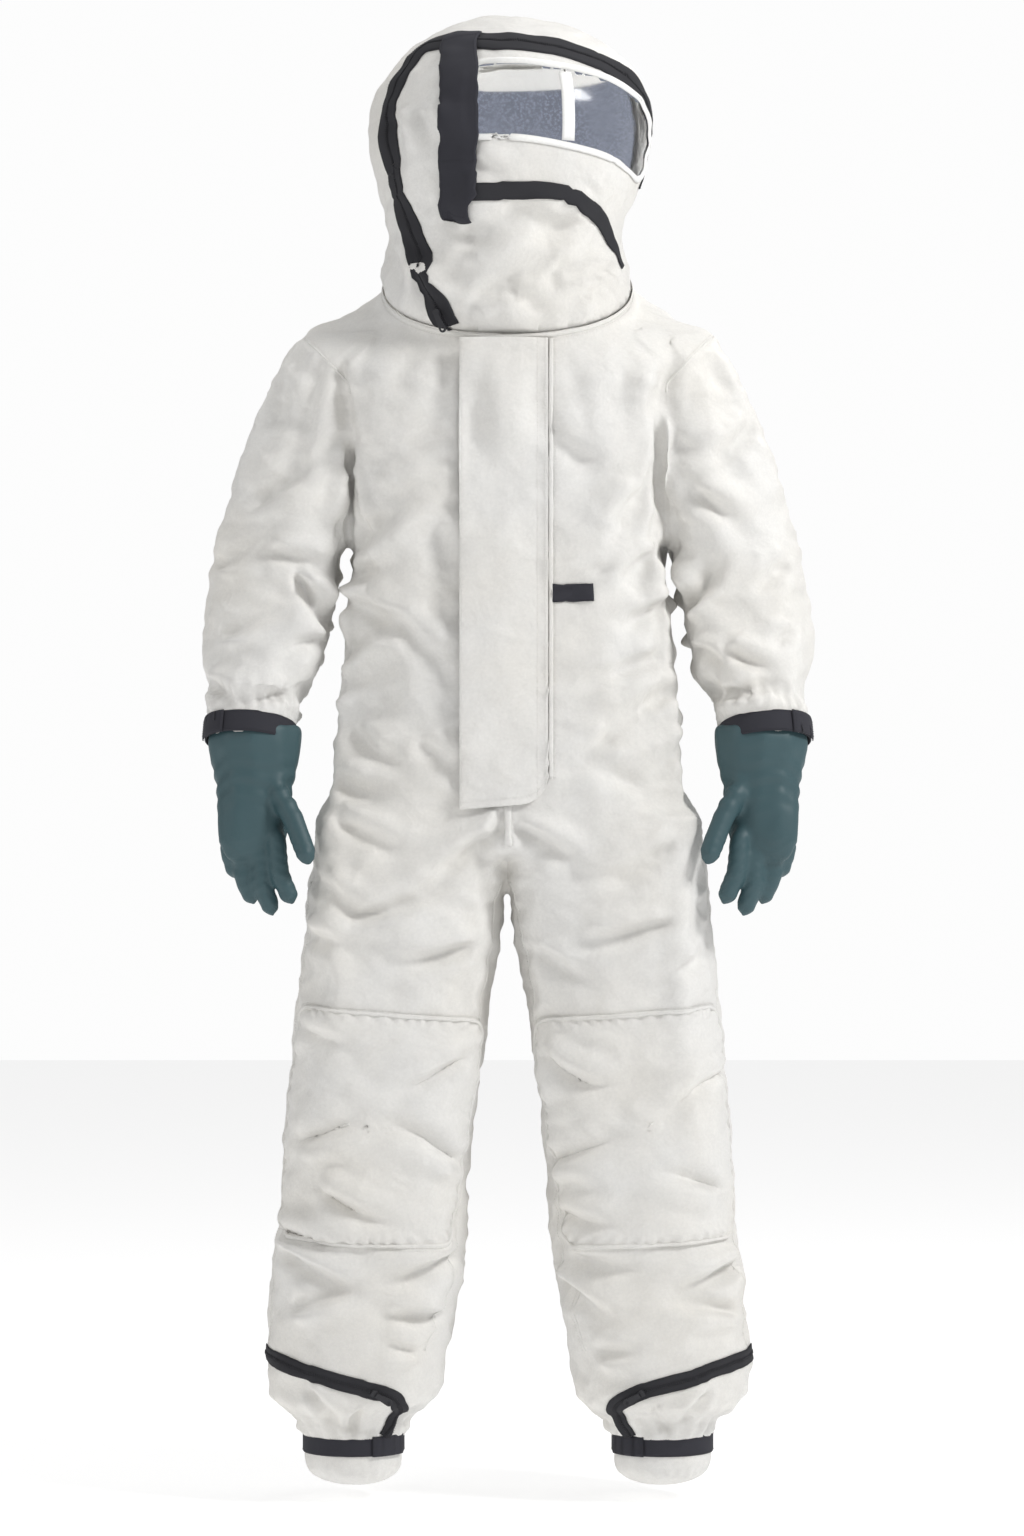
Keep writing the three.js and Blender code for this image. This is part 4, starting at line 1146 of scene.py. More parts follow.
def held_points(at):
    """Weights of the points that stay put while the cloth settles."""
    from_neck = (at - np.array(NECK)) @ np.array(NECK_UP)
    cuffs = [np.linalg.norm(at - np.array(mirror(CUFF, sign)), axis=1) for sign in (1, -1)]
    return np.maximum.reduce([
        (from_neck > -0.012) * 1.0, (at[:, 2] < FOOT_Z + 0.03) * 1.0,
        (np.minimum(*cuffs) < 0.068) * 1.0,
        ((np.abs(armhole_field(at)) < 0.007) & (at[:, 2] > -0.3)) * 1.0,
    ])


def calm_points(at):
    """How far each point is left out of the folds, near the neck, the ankles and the cuffs."""
    calm = np.maximum(step(1 - np.abs((at - np.array(NECK)) @ np.array(NECK_UP)) / 0.02),
                      step((FOOT_Z + 0.04 - at[:, 2]) / 0.02))
    for sign in SIDES.values():
        away = (at - np.array(mirror(CUFF, sign))) @ np.array(mirror(CUFF_UP, sign))
        calm = np.maximum(calm, step((0.035 - away) / 0.012) * (np.abs(at[:, 0]) > 0.24)
                          * (at[:, 2] > -0.6) * (at[:, 2] < -0.45))
    return calm


def settled_cloth(look):
    """Trunk, legs and sleeves as one cloth, settled on the body it hangs on."""
    tubes = [trunk_rows()] + [rows(side) for rows in (leg_rows, sleeve_rows) for side in SIDES]
    body = relax(merged_tubes("coverall", tubes, look.mesh_size), 6)
    at = coords(body)
    joint = np.exp(-((armhole_field(at) / 0.055) ** 2)) * step((at[:, 2] + 0.12) / 0.06)
    relax(body, 60, keep=1 - joint)
    settle(body, held_points(coords(body)), 20, look.growth, 1.0, 3.0, look.fold, drop=0.2)
    relax(body, 2, 0.4)
    return subdivided(body)


def gathered_ends(body):
    """Gathers the cloth above its cuffs, and draws it in and gathers it above its ankles."""
    for sign in SIDES.values():
        pleated(body, mirror(CUFF, sign), mirror(CUFF_UP, sign), 23, 0.055, 0.0036, 0.026)
        ankle = Vector((sign * leg_middle(FOOT_Z), 0, FOOT_Z))
        drawn_in(body, ankle, 0.13, 0.075)
        pleated(body, ankle, Vector((0, 0, 1)), 19, 0.065, 0.0046, 0.024)


def trimmed_ends(body):
    """The cloth cut off level at its neck, ankles and cuffs."""
    trimmed(body, NECK, NECK_UP)
    trimmed(body, Vector((0, 0, FOOT_Z)), Vector((0, 0, -1)))
    for sign in SIDES.values():
        plane, middle = np.array(mirror(CUFF_UP, sign)), np.array(mirror(CUFF, sign))

        def above_cuff(p):
            near = (p[:, 0] * sign > 0.235) & (np.linalg.norm(p - middle, axis=1) < 0.098)
            return np.where(near, (p - middle) @ plane, 1.0)

        field_cut(body, above_cuff)
        kept = taken(body, "coverall", above_cuff)
        bpy.data.objects.remove(body)
        body = kept
    return body


def half_coverall(body, side):
    """Half of the trunk with its leg."""
    sign = SIDES[side]
    half = taken(body, "coverall_" + side, lambda p: np.minimum(-armhole_field(p), p[:, 0] * sign))
    back = ["back_panel"] if side == "left" else []
    dress(smooth(half), "cloth", knee_blend(side), "front_panel_" + side, "thigh_panel_" + side,
          "shin_panel_" + side, *back)
    sheet_of(half)
    return half


def whole_sleeve(body, side, half):
    """A sleeve from the armhole to the cuff."""
    sign = SIDES[side]
    sleeve = taken(body, "sleeve_" + side, lambda p: np.minimum(armhole_field(p), p[:, 0] * sign))
    dress(smooth(sleeve), "cloth", elbow_blend(side), "upper_sleeve_" + side, "lower_sleeve_" + side)
    sheet_of(sleeve)


class SUIT_OT_coverall(bpy.types.Operator):
    """Settles trunk, legs and sleeves as one cloth, folds it and cuts it at its seams."""

    bl_idname = "suit.coverall"
    bl_label = "Coverall and sleeves"

    def execute(self, context):
        look = context.scene.suit_cloth
        suit.hood = HoodSurface()
        body = settled_cloth(look)
        folded(body, strength=look.depth, keep=calm_points(coords(body)))
        gathered_ends(body)
        collared(body, suit.hood)
        body = trimmed_ends(body)
        field_cut(body, armhole_field)
        field_cut(body, lambda p: p[:, 0] - 1e-5)
        suit.body = skin_of(body)
        for side in SIDES:
            whole_sleeve(body, side, half_coverall(body, side))
        bpy.data.objects.remove(body)
        return {"FINISHED"}


# -------- the hood
HOOD_MIDDLE = Vector((0, 0, 0.21))
POLAR_END = 2.9  # radians from the crown, just past the neck seam
POLAR_STEPS, ROUND_STEPS = 100, 144  # how finely the hood is measured, down and round


class HoodSurface:
    """The hood as a distance from its middle in every direction."""

    def __init__(self):
        tree = tree_of("hood_back_panel", "hood_front_panel", "face_panel", "visor_pane_left",
                       "visor_pane_right")
        self.polar = np.linspace(0, POLAR_END, POLAR_STEPS + 1)
        self.round = np.linspace(-math.pi, math.pi, ROUND_STEPS + 1)[:-1]
        raw = np.array([
            [reach_of(tree, HOOD_MIDDLE, self.way(t, b), least=0.08) for b in self.round]
            for t in self.polar
        ])
        self.reach = softened(filled_in(raw), 1.6, 1.6)
        self.reach[0] = self.reach[0].mean()

    @staticmethod
    def way(polar, bearing):
        return Vector((math.sin(polar) * math.sin(bearing), -math.sin(polar) * math.cos(bearing),
                       math.cos(polar)))

    def distance(self, polar, bearing):
        row = min(max(polar / POLAR_END * POLAR_STEPS, 0), POLAR_STEPS - 0.001)
        column = ((bearing + math.pi) / (2 * math.pi) * ROUND_STEPS) % ROUND_STEPS
        i, j = int(row), int(column)
        a, b = row - i, column - j
        k = (j + 1) % ROUND_STEPS
        grid = self.reach
        return ((grid[i, j] * (1 - b) + grid[i, k] * b) * (1 - a)
                + (grid[i + 1, j] * (1 - b) + grid[i + 1, k] * b) * a)

    def point(self, polar, bearing, inset=0.0):
        return HOOD_MIDDLE + self.way(polar, bearing) * (self.distance(polar, bearing) - inset)

    def polar_at(self, bearing, wanted):
        """The polar angle where wanted(point) falls to nothing, going down from the crown."""
        low, high = 0.0, POLAR_END
        for _ in range(30):
            middle = (low + high) / 2
            if wanted(self.point(middle, bearing)) > 0:
                low = middle
            else:
                high = middle
        return low

    def spot(self, degrees, height):
        """Where a compass bearing and a height in millimetres meet, on the flat layout."""
        bearing = math.radians(degrees)
        polar = self.polar_at(bearing, lambda p: p.z - height * MM)
        return Vector((polar * math.sin(bearing), polar * math.cos(bearing)))

    def seat(self, spot):
        return self.point(spot.length, math.atan2(spot.x, spot.y))

    def rim(self, count=150):
        """The neck seam, on the flat layout."""
        made = []
        for bearing in np.linspace(-math.pi, math.pi, count, endpoint=False):
            polar = self.polar_at(bearing, lambda p: (p - NECK).dot(NECK_UP))
            made.append(Vector((polar * math.sin(bearing), polar * math.cos(bearing))))
        return made

    def route(self, guides, spacing=0.006, closed=False):
        """Evenly spaced points on the hood along a smooth line through bearings and heights."""
        spots = [self.spot(*g) for g in guides]
        if closed:
            spots = spots[-2:] + spots + spots[:3]
        line = spline([s.to_3d() for s in spots], 24 * len(spots))
        if closed:
            share = len(line) / (len(spots) - 1)
            line = line[round(2 * share) : round((len(guides) + 2) * share)]
        flat = [Vector(p.xy) for p in line]
        return even([self.seat(p) for p in flat], spacing, closed), flat


# Compass bearings in degrees, towards the wearer's left, and heights in millimetres.
STRAP_TOP = (-32, 345)
ZIP = [(-32, -14), (-39, 45), (-49, 104), (-56, 160), (-60, 222), (-60, 272), (-57, 311),
       (-51, 338), STRAP_TOP, (-4, 338), (28, 330), (50, 312), (67, 285), (79, 251), (84, 212), (86, 174)]
HINGE = [ZIP[-1], (81, 122), (72, 72)]
CHIN = [(-20, 150), (-4, 152), (14, 152), (31, 143), (47, 124), (61, 98), (72, 72)]
EDGE = [STRAP_TOP, (-23, 318), (-20, 290), (-19, 220), (-20, 150)]
WINDOW = [(-14, 218), (6, 215), (26, 207), (46, 196), (64, 181), (75, 186), (79, 222), (72, 258),
          (57, 284), (40, 299), (20, 307), (0, 311), (-14, 309), (-17, 264)]
DIVIDER = [(24, 196), (24, 255), (24, 318)]
STRAP = [(-27, 349), (-26, 338), (-23, 318), (-20, 290), (-19, 220), (-20, 150), (-22, 118)]
DIVIDER_ENDS = [(24, 214), (24, 255), (24, 298)]
WINDOW_MIDDLE = (25, 255)

# Each piece of the hood: a place on it, its body and the nodes that it stands for.
HOOD_PIECES = {
    "hood_shell": ((180, 250), "coverall", ("hood_back_panel", "hood_front_panel")),
    "face_cloth": ((10, 165), "face", ("face_panel",)),
    "visor_right": ((0, 260), "face", ("visor_pane_right",)),
    "visor_left": ((60, 240), "face", ("visor_pane_left",)),
}
HOOD_SHEETS = {"hood_shell": (0.80, 0.52, None), "face_cloth": (0.34, 0.20, 0.036)}
HOOD_THICK, PANE_THICK, LINING_THICK = 0.003, 0.0012, 0.002
PANE_INSET = 0.0015  # from the outside of the cloth to the panes
LINING_GAP = 0.0135  # from the outside of the cloth to the lining

LAYOUT_SPACING = 0.029  # radians from point to point on the flat layout
RUN_ON = 0.008  # radians that a cutting line runs on past its end, to cross the next


def cutting_lines(shape):
    """The lines that cut the hood, on the flat layout, run on until they cross."""
    lines = [shape.route(g)[1] for g in (ZIP, HINGE, CHIN, EDGE, DIVIDER)]
    lines = [line[:-1:3] + line[-1:] for line in lines]
    for line, length in zip(lines, (0.12, RUN_ON, RUN_ON, 0.03)):
        line.insert(0, line[0] + (line[0] - line[1]).normalized() * length)
        line.append(line[-1] + (line[-1] - line[-2]).normalized() * RUN_ON)
    return lines


def layout_spots(rim_at):
    """Spots spread evenly over the flat layout, ring by ring, out to the neck seam."""
    for k in range(int(POLAR_END / LAYOUT_SPACING)):
        polar = k * LAYOUT_SPACING
        count = max(1, round(2 * math.pi * polar / LAYOUT_SPACING))
        for j in range(count):
            bearing = (j + 0.5 * (k % 2)) / count * 2 * math.pi - math.pi
            if polar <= rim_at(bearing) - LAYOUT_SPACING * 0.6:
                yield Vector((polar * math.sin(bearing), polar * math.cos(bearing)))


def hood_layout(shape):
    """The hood's points and triangles on the flat layout, and the edges that cut it."""
    rim = shape.rim()
    bearings = np.array([math.atan2(p.x, p.y) for p in rim])
    ring = np.array([p.length for p in rim])
    order = np.argsort(bearings)

    def rim_at(bearing):
        return np.interp(bearing, bearings[order], ring[order], period=2 * math.pi)

    window = shape.route(WINDOW, closed=True)[1][::3]
    points, edges = [], []
    for line, closed in [(rim, True), (window, True)] + [(cut, False) for cut in cutting_lines(shape)]:
        base, count = len(points), len(line)
        points += line
        edges += [(base + i, base + (i + 1) % count) for i in range(count if closed else count - 1)]
    fixed = np.array([tuple(p) for p in points])
    for spot in layout_spots(rim_at):
        nearest = np.min((fixed[:, 0] - spot.x) ** 2 + (fixed[:, 1] - spot.y) ** 2)
        if nearest > (0.5 * LAYOUT_SPACING) ** 2:
            points.append(spot)
    spots, links, faces, _, origins, _ = delaunay_2d_cdt(points, edges, [], 0, 1e-5)
    seams = {frozenset(links[i]) for i, origin in enumerate(origins) if origin}
    kept = []
    for face in faces:
        middle = sum((Vector(spots[i]) for i in face), Vector((0, 0))) / len(face)
        if middle.length > rim_at(math.atan2(middle.x, middle.y)) + 0.001:
            continue
        a, b, c = (shape.seat(Vector(spots[i])) for i in face[:3])
        turned = (b - a).cross(c - a).dot((a + b + c) / 3 - HOOD_MIDDLE) < 0
        kept.append(list(reversed(face)) if turned else list(face))
    return spots, kept, seams


def flood(faces, seams, middles, seed):
    """The faces reached from the one nearest a seed without stepping over a seam."""
    beside = {}
    for i, face in enumerate(faces):
        for a, b in zip(face, [*face[1:], face[0]]):
            beside.setdefault(frozenset((a, b)), []).append(i)
    start = int(np.argmin(((middles - np.array(seed)) ** 2).sum(axis=1)))
    found, queue = {start}, [start]
    while queue:
        face = faces[queue.pop()]
        for a, b in zip(face, [*face[1:], face[0]]):
            edge = frozenset((a, b))
            if edge in seams:
                continue
            for other in beside[edge]:
                if other not in found:
                    found.add(other)
                    queue.append(other)
    return found


def thickened(obj, thickness):
    """The sheet with a second side below its own."""
    made = obj.modifiers.new("thick", "SOLIDIFY")
    made.thickness, made.offset = thickness, -1
    return apply_all(obj)


def hood_calm(shape, points):
    """How far each point is left out of the folds, near the neck seam and the window."""
    window = shape.seat(shape.spot(*WINDOW_MIDDLE))
    return np.array([
        max(step(1 - abs((p - NECK).dot(NECK_UP)) / 0.012),
            step(1 - max(0, (p - window).length - 0.085) / 0.03))
        for p in points
    ])


def hood_pieces(shape):
    """The folded hood, cut along its lines into thin pieces."""
    spots, faces, seams = hood_layout(shape)
    seats = [shape.seat(Vector(p)) for p in spots]
    whole = link("hood", seats, faces)
    folded(whole, strength=2.0, crumple=0.0018, keep=hood_calm(shape, seats))
    points = [v.co.copy() for v in whole.data.vertices]
    bpy.data.objects.remove(whole)
    middles = np.array([tuple(sum((Vector(spots[i]) for i in f), Vector((0, 0))) / len(f))
                        for f in faces])
    pieces = []
    for name, (seed, _, _) in HOOD_PIECES.items():
        chosen = sorted(flood(faces, seams, middles, shape.spot(*seed)))
        used = sorted({i for f in chosen for i in faces[f]})
        place = {old: new for new, old in enumerate(used)}
        cut = [[place[i] for i in faces[f]] for f in chosen]
        pieces.append(link(name, [points[i] for i in used], cut))
    return pieces


def hood_lining(shape, name, low, high, half_turn, slot):
    """A curved sheet inside the back of the hood, between two heights in millimetres."""
    columns, rows = 60, 24
    bearings = np.radians(np.linspace(180 - half_turn, 180 + half_turn, columns))
    points = [shape.point(shape.polar_at(b, lambda p: p.z - z * MM), b, LINING_GAP)
              for z in np.linspace(low, high, rows) for b in bearings]
    lining = outward(link(name, points, grid_faces(rows, columns)))
    thickened(lining, LINING_THICK)
    dress(smooth(lining), slot, "coverall", "hood_" + name)
    sheet_of(lining)


class SUIT_OT_hood(bpy.types.Operator):
    """Lays the hood out flat, cuts it along its seams and lifts the pieces back into shape."""

    bl_idname = "suit.hood"
    bl_label = "Hood and visor"

    def execute(self, context):
        shape = suit.hood
        pieces = hood_pieces(shape)
        panes = [piece for piece in pieces if piece.name.startswith("visor")]
        for pane in panes:
            set_coords(pane, coords(pane) - normals(pane) * PANE_INSET)
        suit.hood_skin = skin_of(*pieces)
        for piece in pieces:
            _, body, nodes = HOOD_PIECES[piece.name]
            thickened(piece, PANE_THICK if piece in panes else HOOD_THICK)
            dress(smooth(piece), "clear_sheet" if piece in panes else "cloth", body, *nodes)
            if piece.name in HOOD_SHEETS:
                sheet_of(piece)
        hood_lining(shape, "mesh_lining", 146, 326, 84, "lining_mesh")
        hood_lining(shape, "lining_band", 326, 352, 90, "cloth")
        return {"FINISHED"}


# -------- tape, webbing and binding
# Cross-sections of what is sewn on: width, thickness and how far it stands off the cloth.
HOOD_TAPE = flat_section(0.0178, 0.0012, 0.0006, columns=8)
CHIN_TAPE = flat_section(0.0220, 0.0016, 0.0008, columns=8)
FACE_STRAP = flat_section(0.0500, 0.0022, 0.0040, columns=14)
VISOR_BINDING = flat_section(0.0085, 0.0020, 0.0013, columns=6, edge=0.7)
DIVIDER_BAR = flat_section(0.0165, 0.0016, 0.0018, columns=6)
FRONT_TAPE = flat_section(0.0300, 0.0012, 0.0006, columns=9)
ANKLE_TAPE = flat_section(0.0210, 0.0013, 0.0008, columns=9)
FLAP_HEM = flat_section(0.0060, 0.0030, 0.0002, columns=6, edge=0.8)
KNEE_WELT = flat_section(0.0056, 0.0046, 0.0002, columns=6, edge=0.9)
NECK_WELT = flat_section(0.0050, 0.0013, 0.0000, columns=5, edge=0.8)
FLY_WELT = flat_section(0.0100, 0.0020, 0.0000, columns=7, edge=0.8)
FINE_WELT = flat_section(0.0030, 0.0009, -0.0002, columns=4, edge=0.8)
HOOD_TAPE_OUT = 0.0092  # from the hood zip's line to the middle of each tape


def joined(name, *objects):
    """Several meshes as one object."""
    points, faces = [], []
    for obj in objects:
        base = len(points)
        points += [v.co.copy() for v in obj.data.vertices]
        faces += [[base + i for i in p.vertices] for p in obj.data.polygons]
        bpy.data.objects.remove(obj)
    return smooth(link(name, points, faces))


def shifted(tree, route, shift):
    """A route moved sideways over a skin."""
    line = [lie(tree, p) for p in route]
    moved = []
    way = Vector((0, -1, 0))
    for i, (at, up) in enumerate(line):
        way = up or way
        ahead = line[min(i + 1, len(line) - 1)][0] - line[max(i - 1, 0)][0]
        moved.append(lie(tree, at + ahead.cross(way).normalized() * shift)[0])
    return moved


def zip_teeth(tree, route, lift, pitch=0.0026):
    """The coil of a closed zip: a close row of small bars across its line."""
    wide, high, share = 0.0052, 0.0011, 0.36  # share of the pitch that half a bar fills
    points, faces = [], []
    run = even(route, pitch)
    for a, b in zip(run, run[1:]):
        middle, up = lie(tree, (a + b) / 2)
        if up is None:
            continue
        along = (b - a) * share
        across = along.cross(up).normalized() * wide / 2
        base = len(points)
        corners = ((-1, -1), (1, -1), (1, 1), (-1, 1))
        low = middle + up * lift
        top = middle + up * (lift + high)
        points += [low + along * s + across * t for s, t in corners]
        points += [top + along * 0.6 * s + across * 0.8 * t for s, t in corners]
        for quad in ((0, 3, 2, 1), (4, 5, 6, 7), (0, 1, 5, 4), (1, 2, 6, 5), (2, 3, 7, 6), (3, 0, 4, 7)):
            faces.append([base + i for i in quad])
    return link("teeth", points, faces)


def hood_zip(shape, skin):
    """Tape on both sides of the hood's zip, which changes panel at the top of the strap."""
    route, _ = shape.route(ZIP)
    top = shape.seat(shape.spot(*STRAP_TOP))
    split = min(range(len(route)), key=lambda i: (route[i] - top).length)
    for name, run, sign, body, node in (
        ("zip_tape_back", route, -1, "coverall", "hood_zip_tape_back"),
        ("zip_tape_front", route[: split + 1], 1, "coverall", "hood_zip_tape_front"),
        ("zip_tape_visor", route[split + 1 :], 1, "face", "visor_zip_tape"),
    ):
        shift = sign * HOOD_TAPE_OUT
        parts = [ribbon(name, skin, shifted(skin, run, shift), *HOOD_TAPE)]
        if sign < 0:
            parts.append(zip_teeth(skin, run, 0.0016))
        for off in (-0.0070, 0.0068):
            line = shifted(skin, run, shift + off)
            parts.append(stitched(skin, [line], TAPE_STITCH, 0.0019))
        dress(joined(name, *parts), "zip_tape", body, node)


def chin_band(shape, skin):
    """The tape along the lower edge of the face panel, narrower towards the hinge side."""
    line, _ = shape.route(CHIN)
    band = ribbon("chin", skin, line, *CHIN_TAPE,
                  taper=lambda t: 1 - 0.5 * max(0, (t - 0.55) / 0.45) ** 1.5)
    wide = line[: len(line) * 2 // 3]
    rows = stitched(skin, [shifted(skin, wide, s) for s in (-0.0085, 0.0085)], TAPE_STITCH, 0.0022)
    dress(joined("chin_band", band, rows), "zip_tape", "face", "chin_tape")


def face_strap(shape, skin):
    """The wide strap down the edge of the face panel, stitched along and across."""
    run, _ = shape.route(STRAP)
    strap = ribbon("strap", skin, run, *FACE_STRAP)
    lines = [shifted(skin, run, s) for s in (-0.0225, 0.0225)]
    places = (round(len(run) * 0.70), len(run) - 3, 2)
    across = [[lie(skin, lines[0][i].lerp(lines[1][i], k / 8))[0] for k in range(9)] for i in places]
    rows = stitched(skin, lines + across, STRAP_STITCH, 0.0064)
    dress(joined("face_strap_webbing", strap, rows), "hook_and_loop", "face", "face_strap")


def visor_trim(shape, skin):
    """The binding round the window and the bar between its panes."""
    window, _ = shape.route(WINDOW, closed=True)
    rim = ribbon("visor_rim", skin, window, *VISOR_BINDING, closed=True)
    dress(rim, "binding", "face", "visor_binding")
    bar, _ = shape.route(DIVIDER_ENDS)
    dress(ribbon("visor_bar", skin, bar, *DIVIDER_BAR), "binding", "face", "visor_divider")


class SUIT_OT_hood_trim(bpy.types.Operator):
    """Sews the zip, the strap, the chin band and the visor's binding on the hood."""

    bl_idname = "suit.hood_trim"
    bl_label = "Hood trim"

    def execute(self, context):
        for sew in (hood_zip, chin_band, face_strap, visor_trim):
            sew(suit.hood, suit.hood_skin)
        return {"FINISHED"}


# -------- the front of the coverall
FLAP_ROWS, FLAP_COLUMNS = 190, 34
FLAP_RISE = 0.012  # how far the flap starts above its CAD box
FLAP_OVER = 0.0125  # how far its sewn edge passes that box
FLAP_CORNER = 0.032  # radius of its lower corner
FLAP_THICK, FLAP_EDGE = 0.0028, 0.0011
BADGE_THICK, BADGE_STAND = 0.0018, 0.0008


def front(tree, x, z, default=-0.133):
    """The front of a skin at a distance across and a height."""
    hit = tree.ray_cast(Vector((x, -0.4, z)), Vector((0, 1, 0)), 0.5)[0]
    return hit.y if hit else default


def soft_edges(obj, width):
    """The mesh with its sharp edges rounded."""
    made = obj.modifiers.new("edge", "BEVEL")
    made.width, made.segments, made.limit_method = width, 2, "ANGLE"
    made.angle_limit = math.radians(50)
    return apply_all(obj)


def tented(depth, grid):
    """The flap's depth, drawn forward where it covers the zip's slider and pull."""
    near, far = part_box("front_zip_pull")
    seat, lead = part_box("front_zip_slider")
    beside = np.maximum(near.x - grid[:, :, 0], grid[:, :, 0] - far.x)
    above = np.maximum(near.z - grid[:, :, 2], grid[:, :, 2] - lead.z)
    share = step(1 - beside / 0.045) * step(1 - above / 0.060)
    return depth + (np.minimum(depth, min(near.y, seat.y) + 0.003) - depth) * share


def flap_grid(skin):
    """Rows of points of the storm flap from its top down, laid over the coverall."""
    low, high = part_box("storm_flap")
    top, left, right = high.z + FLAP_RISE, low.x, high.x
    xs = np.linspace(left, right + FLAP_OVER, FLAP_COLUMNS)
    grid = np.zeros((FLAP_ROWS, FLAP_COLUMNS, 3))
    for j, x in enumerate(xs):
        inset = max(0.0, x - (right + FLAP_OVER - FLAP_CORNER))
        slant = 0.008 * (right - x) / (right - left)
        end = low.z + FLAP_CORNER - math.sqrt(max(0.0, FLAP_CORNER**2 - inset**2)) - slant
        for i, share in enumerate(np.linspace(0, 1, FLAP_ROWS)):
            grid[i, j] = (x, 0, top + (end - top) * share)
    depth = np.array([[front(skin, x, z) for x, _, z in row] for row in grid])
    depth = tented(np.minimum(depth, softened(depth, 5, 0.01)), grid)
    free = np.clip((right - xs) / 0.045, 0, 1)  # 0 where it is sewn down
    lift = 0.0045 + 0.0065 * free**0.6
    sewn = np.exp(-(((xs - right + 0.004) / 0.010) ** 2))
    z = grid[:, :, 2]
    pucker = 0.0011 * np.sin(z / 0.0075 + 2 * np.sin(z * 31)) * sewn
    wave = 0.0022 * np.sin(z * 17 + 1.7) * free * free + 0.0016 * np.sin(z * 41 + xs * 60) * free
    grid[:, :, 1] = depth - lift - pucker - wave
    return grid


def storm_flap(skin):
    """The flap over the front zip, with its rows of stitches."""
    grid = flap_grid(skin)
    points = [Vector(p) for row in grid for p in row]
    sheet = link("flap", points, grid_faces(FLAP_ROWS, FLAP_COLUMNS))
    if sheet.data.polygons[0].normal.y > 0:
        sheet.data.flip_normals()
    columns = [round(share * (FLAP_COLUMNS - 1)) for share in (0.035, 0.875, 0.955)]
    lines = [[Vector(grid[i, j]) for i in range(0, FLAP_ROWS, 3)] for j in columns]
    lines.append([Vector(p) for p in grid[-4]])
    threads = stitched(skin_of(sheet), lines, SEAM_STITCH, 0.0007)
    thickened(sheet, FLAP_THICK)
    soft_edges(sheet, FLAP_EDGE)
    flap = joined("flap_cloth", sheet, threads)
    dress(flap, "cloth", "storm_flap", "storm_flap")
    sheet_of(flap)


def flap_hem(skin):
    """The raised hem beside the flap's sewn edge."""
    low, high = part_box("storm_flap")
    x = high.x + 0.0155
    heights = np.linspace(high.z + FLAP_RISE, low.z + 0.03, 120)
    edge = [Vector((x, front(skin, x, z), z)) for z in heights]
    cord = ribbon("hem", skin, edge, *FLAP_HEM)
    outer = stitched(skin, [[p + Vector((0.006, 0, 0)) for p in edge]], SEAM_STITCH, 0.0006)
    dress(joined("flap_piping", cord, outer), "cloth", "coverall", "flap_hem")


def badge(skin):
    """The small blank patch of hook-and-loop tape on the chest."""
    low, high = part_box("badge_patch")
    z, height = (low.z + high.z) / 2, high.z - low.z
    across = [Vector((x, front(skin, x, z), z)) for x in np.linspace(low.x, high.x, 16)]
    section = flat_section(height, BADGE_THICK, BADGE_STAND, columns=10)
    patch = ribbon("badge", skin, across, *section)
    lines = [[lie(skin, p + Vector((0, 0, s * (height / 2 - 0.002))))[0] for p in across]
             for s in (-1, 1)]
    rows = stitched(skin, lines, TAPE_STITCH, 0.0028)
    dress(joined("badge_webbing", patch, rows), "hook_and_loop", "coverall", "badge_patch")


def front_zip(skin):
    """The zip under the storm flap."""
    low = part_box("storm_flap")[0]
    line = [Vector((0, front(skin, 0, z), z)) for z in np.linspace(-0.04, low.z + 0.022, 80)]
    tape = ribbon("tape", skin, line, *FRONT_TAPE)
    whole = joined("front_zip", tape, zip_teeth(skin, line, 0.0014))
    dress(whole, "zip_tape", "coverall", "front_zip_tape")


class SUIT_OT_flap(bpy.types.Operator):
    """Lays the storm flap, its sewn edge and the badge patch over the front zip."""

    bl_idname = "suit.flap"
    bl_label = "Storm flap"

    def execute(self, context):
        for lay in (storm_flap, flap_hem, badge, front_zip):
            lay(suit.body)
        return {"FINISHED"}


# -------- knee patches
# Corners as distance round the leg from its front, outwards, and height, in millimetres.
KNEE_CORNERS = [(-142, -862), (138, -842), (142, -1128), (-118, -1140)]
KNEE_CORNER_RADIUS = 34
KNEE_RINGS = 44
LEG_RADIUS = 117.0  # millimetres, which turn a distance round the leg into a bearing


def leg_spot(side, degrees, height):
    """A point on the leg's skin at a bearing towards the outer side, and a height in mm."""
    sign, angle, z = SIDES[side], math.radians(degrees), height * MM
    middle = Vector((sign * float(leg_middle(z)), 0, z))
    way = Vector((sign * math.sin(angle), -math.cos(angle), 0))
    hit = suit.body.ray_cast(middle, way, 0.25)[0]
    return hit or middle + way * 0.11


def rounded(corners, radius, count=14):
    """A closed outline through corners that are rounded off."""
    line = []
    for before, at, after in zip([corners[-1], *corners[:-1]], corners, [*corners[1:], corners[0]]):
        a, b, c = Vector(before), Vector(at), Vector(after)
        start, end = b + (a - b).normalized() * radius, b + (c - b).normalized() * radius
        for k in range(count + 1):
            t = k / count
            line.append(start * (1 - t) ** 2 + b * 2 * t * (1 - t) + end * t * t)
    return line


def gathered(patch, count, rings):
    """Lifts a patch off the leg, with small gathers just inside its edge."""
    share = np.repeat(np.linspace(0, 1, rings), count)
    angle = np.tile(np.arange(count), rings)
    gather = np.sin(angle * 2 * math.pi / count * 58 + 2 * np.sin(angle * 0.21))
    lift = 0.0022 + 0.0030 * step((1 - share) / 0.08)
    lift += gather * 0.0019 * np.exp(-(((share - 0.955) / 0.035) ** 2))
    set_coords(patch, coords(patch) + normals(patch) * lift[:, None])


